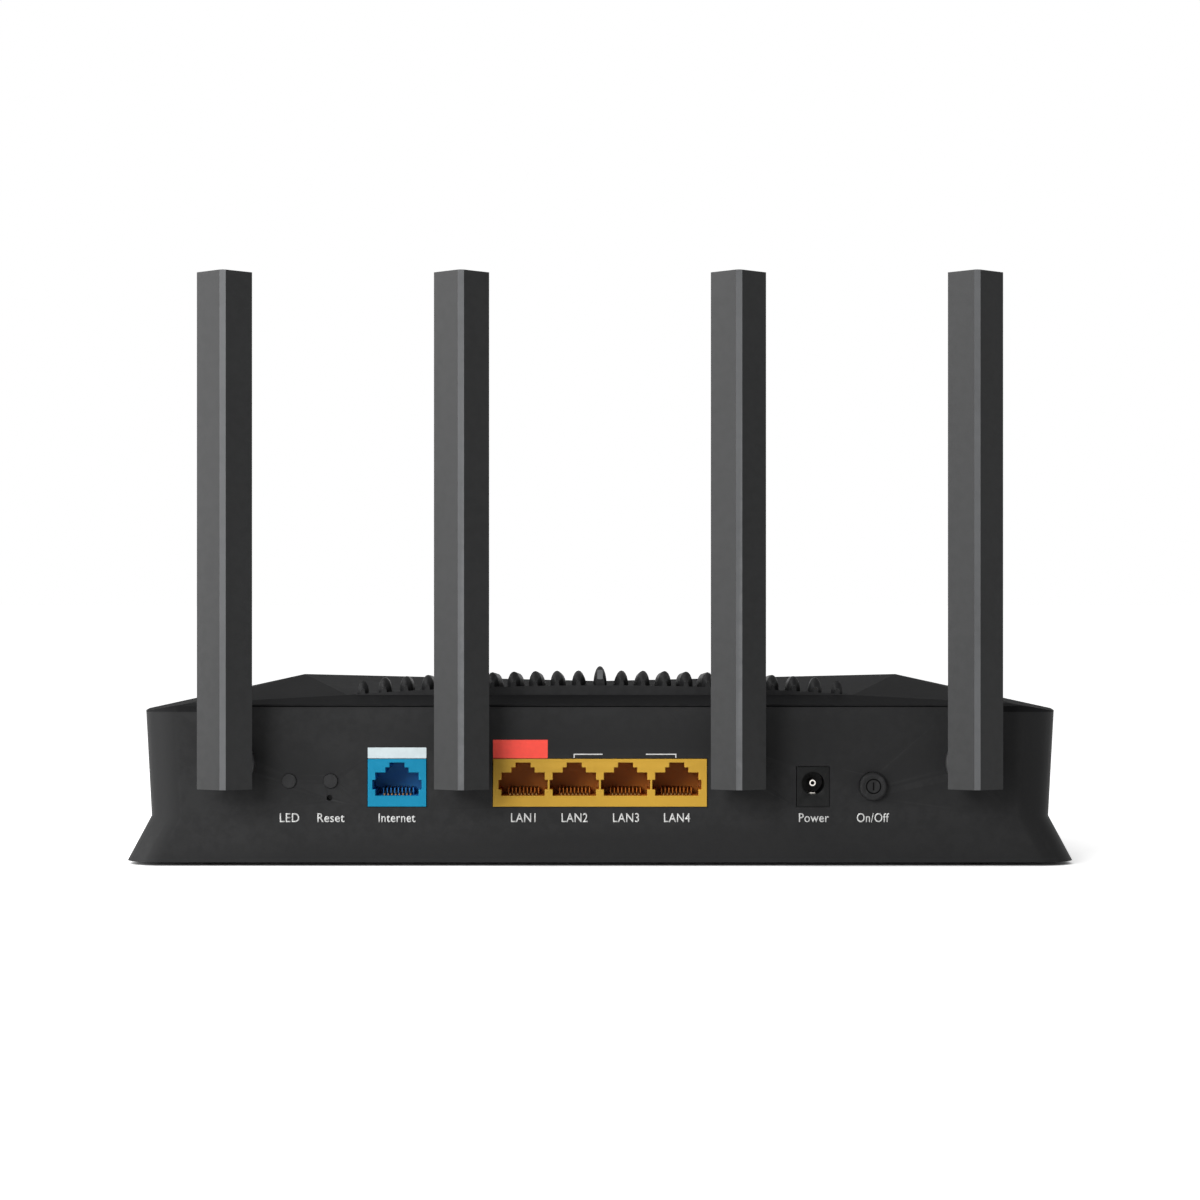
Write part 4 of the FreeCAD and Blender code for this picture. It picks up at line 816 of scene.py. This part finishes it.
def make_contacts(tree, node, jack, count):
    y, z = PANEL_Y + WIRE_START[0], PORT_FLOOR + WIRE_START[1]
    wires = [grown(tree, {"Count": CONTACTS, "Pitch": CONTACT_PITCH, "Centre": (x, y, z),
                          "Depth": PORT_DEPTH - WIRE_END, "Rise": WIRE_RISE, "Wire": WIRE_RADIUS,
                          "Material": GOLD_IN_PAINTED_SHADE})
             for x in port_centres(jack, count)]
    mesh = joined(wires)
    smooth(mesh, WIRE_ANGLE)
    piece = add_piece(node + "_wires", mesh, GOLD_IN_PAINTED_SHADE, "case")
    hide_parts(node)


# ---- words and signs on the panel ----
CAP_HEIGHT = 2.4 * MM
BASELINE_Z = 12.0 * MM
INK = 0.03 * MM
STRIP_GAP, STRIP_ROUND, STRIP_DEPTH = 0.16 * MM, 0.15 * MM, 0.06 * MM
WHITE_RISE, RED_RISE, RED_WIDTH = 3.1 * MM, 5.2 * MM, 14.9 * MM
BRACKET_LINE, BRACKET_LEVEL, BRACKET_FOOT = 0.28 * MM, 1.4 * MM, 0.3 * MM
BRACKET_LEFT, BRACKET_RIGHT = -7.2 * MM, 20.8 * MM
BRACKET_GAP = (0.7 * MM, 12.5 * MM)    # left open for a speed mark, which is left out
SIGN_INNER, SIGN_OUTER, SIGN_DISH = 1.75 * MM, 2.1 * MM, 0.15 * MM
SIGN_BAR = (0.18 * MM, 1.1 * MM, 0.1 * MM)    # half width, half height, corner radius
# each word's middle and its width, in millimetres
WORDS = {"LED": (-84.6, 5.3), "Reset": (-73.3, 7.4), "Internet": (-55.3, 10.0), "LAN1": (-20.9, 6.7),
         "LAN2": (-6.9, 7.1), "LAN3": (7.1, 7.1), "LAN4": (21.0, 7.1), "Power": (58.3, 8.2),
         "On-Off": (74.4, 8.8)}


def flat_word(text):
    """The mesh of a word, flat on x and y, capitals one unit tall, centred on its width."""
    curve = bpy.data.curves.new("word", "FONT")
    adjusted(curve, {"body": text, "align_x": "CENTER", "space_character": 1.05, "offset": 0.006,
                     "resolution_u": 6})
    mesh = applied(stood("word", curve))
    bpy.data.curves.remove(curve)
    return mesh


def capital_height():
    letter = flat_word("H")
    top = max(v.co.y for v in letter.vertices)
    bpy.data.meshes.remove(letter)
    return top


def make_words():
    tall = CAP_HEIGHT / capital_height()
    for label, (x, width) in WORDS.items():
        mesh = flat_word(label.replace("-", "/"))
        ends = [v.co.x for v in mesh.vertices]
        wide = width * MM / (max(ends) - min(ends))
        middle = (max(ends) + min(ends)) / 2
        turn = Matrix.Rotation(math.radians(90), 4, "X")
        base = Matrix.Translation((x * MM - middle * wide, PANEL_Y - INK, BASELINE_Z))
        mesh.transform(base @ turn @ Matrix.Diagonal((wide, tall, 1, 1)))
        shape = bmesh.new()
        shape.from_mesh(mesh)
        bmesh.ops.remove_doubles(shape, verts=shape.verts, dist=FINE_MERGE)
        ring = bmesh.ops.extrude_face_region(shape, geom=shape.faces[:])
        moved = [v for v in ring["geom"] if isinstance(v, bmesh.types.BMVert)]
        bmesh.ops.translate(shape, verts=moved, vec=(0, INK * 2, 0))
        bmesh.ops.recalc_face_normals(shape, faces=shape.faces)
        shape.to_mesh(mesh)
        shape.free()
        add_piece("word_" + label, mesh, WHITE_INK, "case")


def strip_mesh(left, right, top, rise):
    return plate_mesh(rectangle(left, right, top + STRIP_GAP, top + rise, STRIP_ROUND), STRIP_DEPTH)


def make_strips():
    """Bare colour strips above the first sockets, and the bracket over the other three."""
    wan_low, wan_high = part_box("wan_jack")
    top = wan_high[2]
    white = strip_mesh(wan_low[0], wan_high[0], top, WHITE_RISE)
    add_piece("socket_strip_white", white, WHITE_FILM, "case")
    lan_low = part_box("lan_jack")[0]
    red = strip_mesh(lan_low[0], lan_low[0] + RED_WIDTH, top, RED_RISE)
    add_piece("socket_strip_red", red, RED_FILM, "case")
    left, right, line = BRACKET_LEFT, BRACKET_RIGHT, BRACKET_LINE
    level, foot = top + BRACKET_LEVEL, top + BRACKET_FOOT
    bars = [(left, BRACKET_GAP[0], level - line, level), (BRACKET_GAP[1], right, level - line, level),
            (left, left + line, foot, level - line), (right - line, right, foot, level - line)]
    bracket = joined([plate_mesh(rectangle(*bar), INK) for bar in bars])
    add_piece("socket_bracket", bracket, WHITE_INK, "case")


def ring_mesh(centre, inner, outer, front, back, steps=48):
    """A flat ring facing out of the panel, closed all round."""
    points, faces = [], []
    for radius, y in ((inner, front), (outer, front), (outer, back), (inner, back)):
        for i in range(steps):
            angle = 2 * math.pi * i / steps
            points.append((centre[0] + radius * math.cos(angle), y, centre[1] + radius * math.sin(angle)))
    for band in range(4):
        for i in range(steps):
            after = (i + 1) % steps
            other = (band + 1) % 4
            faces.append([band * steps + i, band * steps + after, other * steps + after, other * steps + i])
    return oriented(mesh_from("ring", points, faces))


def make_power_sign():
    """Circle and bar printed in the dish of the power button."""
    low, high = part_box("power_button")
    x, _, z = middle_of((low, high))
    face = low[1] + SIGN_DISH
    ring = ring_mesh((x, z), SIGN_INNER, SIGN_OUTER, face - INK, face + INK)
    half, reach, radius = SIGN_BAR
    bar = plate_mesh(rectangle(x - half, x + half, z - reach, z + reach, radius), INK)
    bar.transform(Matrix.Translation((0, face - PANEL_Y, 0)))
    add_piece("power_sign", joined([ring, bar]), GREY_INK, "power_button_part")


# ---- stage ----
FLOOR_HALF, FLOOR_GLOW, FLOOR_PALE = 40.0, 0.88, (0.82, 0.82, 0.82, 1)
CONTACT_REACH = 0.02    # how near the base the floor darkens
WHITE = (1, 1, 1, 1)
WORLD_FILL = 0.2
LIGHT_AIM = (0, PANEL_Y, 0.06)
# each soft box: its place, its size and the radiance of its face
LIGHTS = {"side_box": ((-0.95, PANEL_Y - 0.36, 0.5), (0.8, 1.1), 6.1),
          "front_box": ((-0.42, PANEL_Y - 0.88, 0.42), (0.42, 0.42), 12.5)}


def seen_rays(tree):
    """One for rays that show the stage: straight, through clear plastic or mirrored. Otherwise zero."""
    path = put(tree, "ShaderNodeLightPath").outputs
    seen = maths(tree, "MAXIMUM", path["Is Camera Ray"], path["Is Transmission Ray"])
    return maths(tree, "MAXIMUM", seen, path["Is Glossy Ray"])


def make_floor():
    """White floor that keeps the object's shadow."""
    corners = rectangle(-FLOOR_HALF, FLOOR_HALF, -FLOOR_HALF, FLOOR_HALF)
    mesh = mesh_from("floor", [(x, y, 0) for x, y in corners], [[0, 1, 2, 3]])
    floor = stood("floor", mesh)
    material, tree, shader = blank_material("floor_paint")
    feed(tree, shader, {"Base Color": FLOOR_PALE, "Roughness": 0.9, "Specular IOR Level": 0.0})
    near = put(tree, "ShaderNodeAmbientOcclusion", {"Distance": CONTACT_REACH}, samples=6).outputs["AO"]
    strength = times(tree, times(tree, seen_rays(tree), near), FLOOR_GLOW)
    glow = result(tree, "ShaderNodeEmission", {"Color": WHITE, "Strength": strength})
    both = result(tree, "ShaderNodeAddShader", {0: shader.outputs[0], 1: glow})
    feed(tree, tree.nodes["Material Output"], {"Surface": both})
    mesh.materials.append(material)


def make_world():
    world = bpy.data.worlds.new("studio")
    bpy.context.scene.world = world
    world.use_nodes = True
    tree = world.node_tree
    strength = spread(tree, seen_rays(tree), 0.0, 1.0, WORLD_FILL, 1.0)
    feed(tree, tree.nodes["Background"], {"Color": WHITE, "Strength": strength})


def make_lights():
    """Soft boxes whose faces have a given brightness."""
    for name, (place, size, radiance) in LIGHTS.items():
        light = bpy.data.lights.new(name, "AREA")
        light.shape = "RECTANGLE"
        light.size, light.size_y = size
        light.energy = radiance * math.pi * size[0] * size[1]
        lamp = stood(name, light)
        lamp.location = place
        lamp.rotation_euler = (Vector(LIGHT_AIM) - Vector(place)).to_track_quat("-Z", "Y").to_euler()


def make_camera():
    """Level with a point above the case, looking straight at the socket panel."""
    distance, eye, seen_width, sensor = 0.9, 72.5 * MM, 327.0 * MM, 36.0
    camera = bpy.data.cameras.new("camera")
    camera.sensor_width = sensor
    camera.lens = sensor * distance / seen_width
    camera.clip_start = 0.01
    holder = stood("camera", camera)
    holder.location = (0, PANEL_Y - distance, eye)
    holder.rotation_euler = (math.radians(90), 0, 0)
    bpy.context.scene.camera = holder


# ---- the object ----
def make_feet(copies):
    """Round rubber pads with a rounded rim and a shallow dished middle."""
    boxes = island_boxes("rubber_feet")
    low, high = boxes[0]
    radius, top = (high[0] - low[0]) / 2, high[2]
    rim, dish = 0.5 * MM, 0.3 * MM
    # the dish's flat middle, a point on its slope, and its edge
    profile = [(0, dish), (radius * 0.55, dish), (radius * 0.62, dish * 0.4), (radius * 0.68, 0),
               (radius - rim, 0)]
    for angle in (math.radians(30), math.radians(60), math.radians(90)):
        profile.append((radius - rim * (1 - math.sin(angle)), rim * (1 - math.cos(angle))))
    profile += [(radius, top), (0, top)]
    places = [(*middle_of(box)[:2], 0) for box in boxes]
    mesh = copies_at(copies, turned(profile, 56), places, RUBBER)
    smooth(mesh, TURNED_ANGLE)
    piece = add_piece("feet_pads", mesh, RUBBER, "case")
    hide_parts("rubber_feet")


def screw_form(head_radius, length, sizes):
    """A screw with its head down and its tip up, a domed head edge, a cross recess and thread rings."""
    head, shank_radius, thread_pitch = sizes
    edge, root, point = head * 0.3, shank_radius * 0.82, shank_radius * 0.7
    profile = [(0, 0), (head_radius - edge, 0), (head_radius - edge * 0.3, edge * 0.3), (head_radius, edge),
               (head_radius, head), (root, head)]
    z = head + thread_pitch
    while z < length - 2 * thread_pitch:
        profile += [(root, z), (shank_radius, z + thread_pitch * 0.4), (shank_radius, z + thread_pitch * 0.5)]
        z += thread_pitch
    profile += [(point, length - thread_pitch), (0, length)]
    mesh = turned(profile, 24)
    arm, half, deep = head_radius * 0.55, head_radius * 0.11, head * 0.6
    mesh = without_block(mesh, (-arm, -half, -deep), (arm, half, deep))
    return without_block(mesh, (-half, -arm, -deep), (half, arm, deep))


def screw_set(copies, node, sizes, head_up):
    """One mesh with a screw in the place of each of a CAD node's screws."""
    boxes = island_boxes(node)
    low, high = boxes[0]
    form = screw_form((high[0] - low[0]) / 2, high[2] - low[2], sizes)
    if head_up:
        form.transform(Matrix.Rotation(math.pi, 4, "X"))
    start = high[2] if head_up else low[2]
    mesh = copies_at(copies, form, [(*middle_of(box)[:2], start) for box in boxes], STEEL)
    smooth(mesh, THREAD_ANGLE)
    return mesh


def make_screws(copies):
    # head height, shank radius and thread pitch of each kind
    mesh = screw_set(copies, "case_screws", (1.3 * MM, 1.5 * MM, 0.9 * MM), False)
    piece = add_piece("case_screw_set", mesh, STEEL, "case")
    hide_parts("case_screws")
    mesh = screw_set(copies, "board_screws", (1.5 * MM, 1.2 * MM, 0.8 * MM), True)
    piece = add_piece("board_screw_set", mesh, STEEL, "case")
    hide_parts("board_screws")


def make_case():
    rounded_node("main_shell", CASE, 0.22)
    rounded_node("top_cover", COVER, 0.3)
    rounded_node("base_plate", BASE, 0.2, 2)
    make_grille()
    rounded_node("light_guide", CLEAR, 0.1, 2)
    rounded_node("rating_plate", PAPER, 0.05, 2)
    copies = build_copies()
    make_feet(copies)
    make_screws(copies)


def paint_faces(mesh, material, chosen):
    """Gives a second material to the faces that a test picks."""
    mesh.materials.append(material)
    for face in mesh.polygons:
        if chosen(face):
            face.material_index = 1


def paint_port_shade(piece, ports, material):
    """The walls inside each port get painted shade: a darker colour than the frame round it, for the shade
    deep in the port.
    """
    def inside(face):
        x, y, z = face.center
        deep = PANEL_Y < y < PANEL_Y + PORT_DEPTH + PORT_SLACK
        level = PORT_FLOOR - PORT_SLACK < z < PORT_FLOOR + PORT_RISE
        return deep and level and any(abs(x - port) < PORT_HALF for port in ports)

    paint_faces(piece.data, material, inside)


def make_sockets():
    paint_port_shade(rounded_node("lan_jack", YELLOW, 0.12), port_centres("lan_jack", 4), YELLOW_PAINTED_SHADE)
    paint_port_shade(rounded_node("wan_jack", BLUE, 0.12), port_centres("wan_jack", 1), BLUE_PAINTED_SHADE)
    lengths = [(label, "Float", 0.0) for label in ("Depth", "Rise", "Wire")]
    contacts = build_row("contact_rows", lengths, spring_wire)
    make_contacts(contacts, "lan_contacts", "lan_jack", 4)
    make_contacts(contacts, "wan_contacts", "wan_jack", 1)
    comb = build_row("comb", [("Wall Size", "Vector", None)], guide_wall)
    make_comb(comb, "lan_guides", "lan_jack", 4, YELLOW_PAINTED_SHADE)
    make_comb(comb, "wan_guides", "wan_jack", 1, BLUE_PAINTED_SHADE)
    rounded_node("power_jack", SOCKET, 0.2)
    make_power_pin()
    finish_node("power_jack_spring", NICKEL)


def make_power_pin():
    """The power socket's centre pin, hollow at its tip, with painted shade in its bore."""
    low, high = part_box("power_jack_pin")
    x, _, z = middle_of((low, high))
    radius, length = (high[0] - low[0]) / 2, high[1] - low[1]
    bore, rim, deep = radius * 0.55, 0.15 * MM, 2.4 * MM
    pin = turned([(0, 0), (radius, 0), (radius, length - rim * 2), (radius - rim, length), (bore, length),
                  (bore, length - deep), (0, length - deep)], 32)
    pin.transform(Matrix.Rotation(math.pi / 2, 4, "X"))
    pin.transform(Matrix.Translation((x, high[1], z)))
    smooth(pin, TURNED_ANGLE)
    piece = add_piece("power_pin", pin, NICKEL, body_holding("power_jack_pin"))
    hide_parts("power_jack_pin")
    # painted shade: the faces inside the bore take the black socket plastic, for the shade in the hollow
    reach, back = bore + 0.01 * MM, high[1] - 1.0 * MM

    def inside(face):
        return face.center.y < back and math.hypot(face.center.x - x, face.center.z - z) < reach

    paint_faces(pin, SOCKET, inside)


def make_buttons():
    rounded_node("power_button", KEY, 0.35)
    rounded_node("led_button", KEY, 0.5)
    rounded_node("wps_button", KEY, 0.5)
    finish_node("reset_plunger", SOCKET)
    make_power_sign()


def paint_ridge_highlight(piece):
    """The narrow flat along the front of an antenna gets a painted highlight: a paler colour than its sides,
    for the light it catches.
    """
    front = min(v.co.y for v in piece.data.vertices) + 0.05 * MM
    paint_faces(piece.data, RIDGE, lambda face: face.center.y < front and face.normal.y < -0.99)


def make_antennas():
    for number in ANTENNAS:
        name = f"antenna_{number}_"
        paint_ridge_highlight(rounded_node(name + "front_shell", BLADE, 0.22))
        rounded_node(name + "rear_shell", BLADE, 0.28)
        rounded_node(name + "swivel", HINGE, 0.25)
        rounded_node(name + "hinge_pin", STEEL, 0.15, 2)
        finish_node(name + "element_board", BOARD)
        finish_node(name + "feed_cable", CABLE)


def make_inside():
    finishes = {
        "main_board": BOARD, "shield_cans": TIN, "processor": CHIP, "memory_chips": CHIP,
        "thermal_pads": PAD, "heat_sink": ALUMINIUM, "line_transformers": CHIP, "capacitors": ALUMINIUM,
        "power_coils": CHIP, "status_lights": LAMP, "coax_plugs": TIN, "antenna_leads": CABLE,
        "swivel_keepers": TIN, "power_switch": SOCKET, "tact_switches": SOCKET,
    }
    for node, material in finishes.items():
        finish_node(node, material)


def main():
    scene = bpy.context.scene
    scene.view_settings.view_transform = "Standard"
    make_floor()
    make_world()
    make_lights()
    make_camera()
    make_case()
    make_sockets()
    make_buttons()
    make_antennas()
    make_inside()
    make_words()
    make_strips()


main()
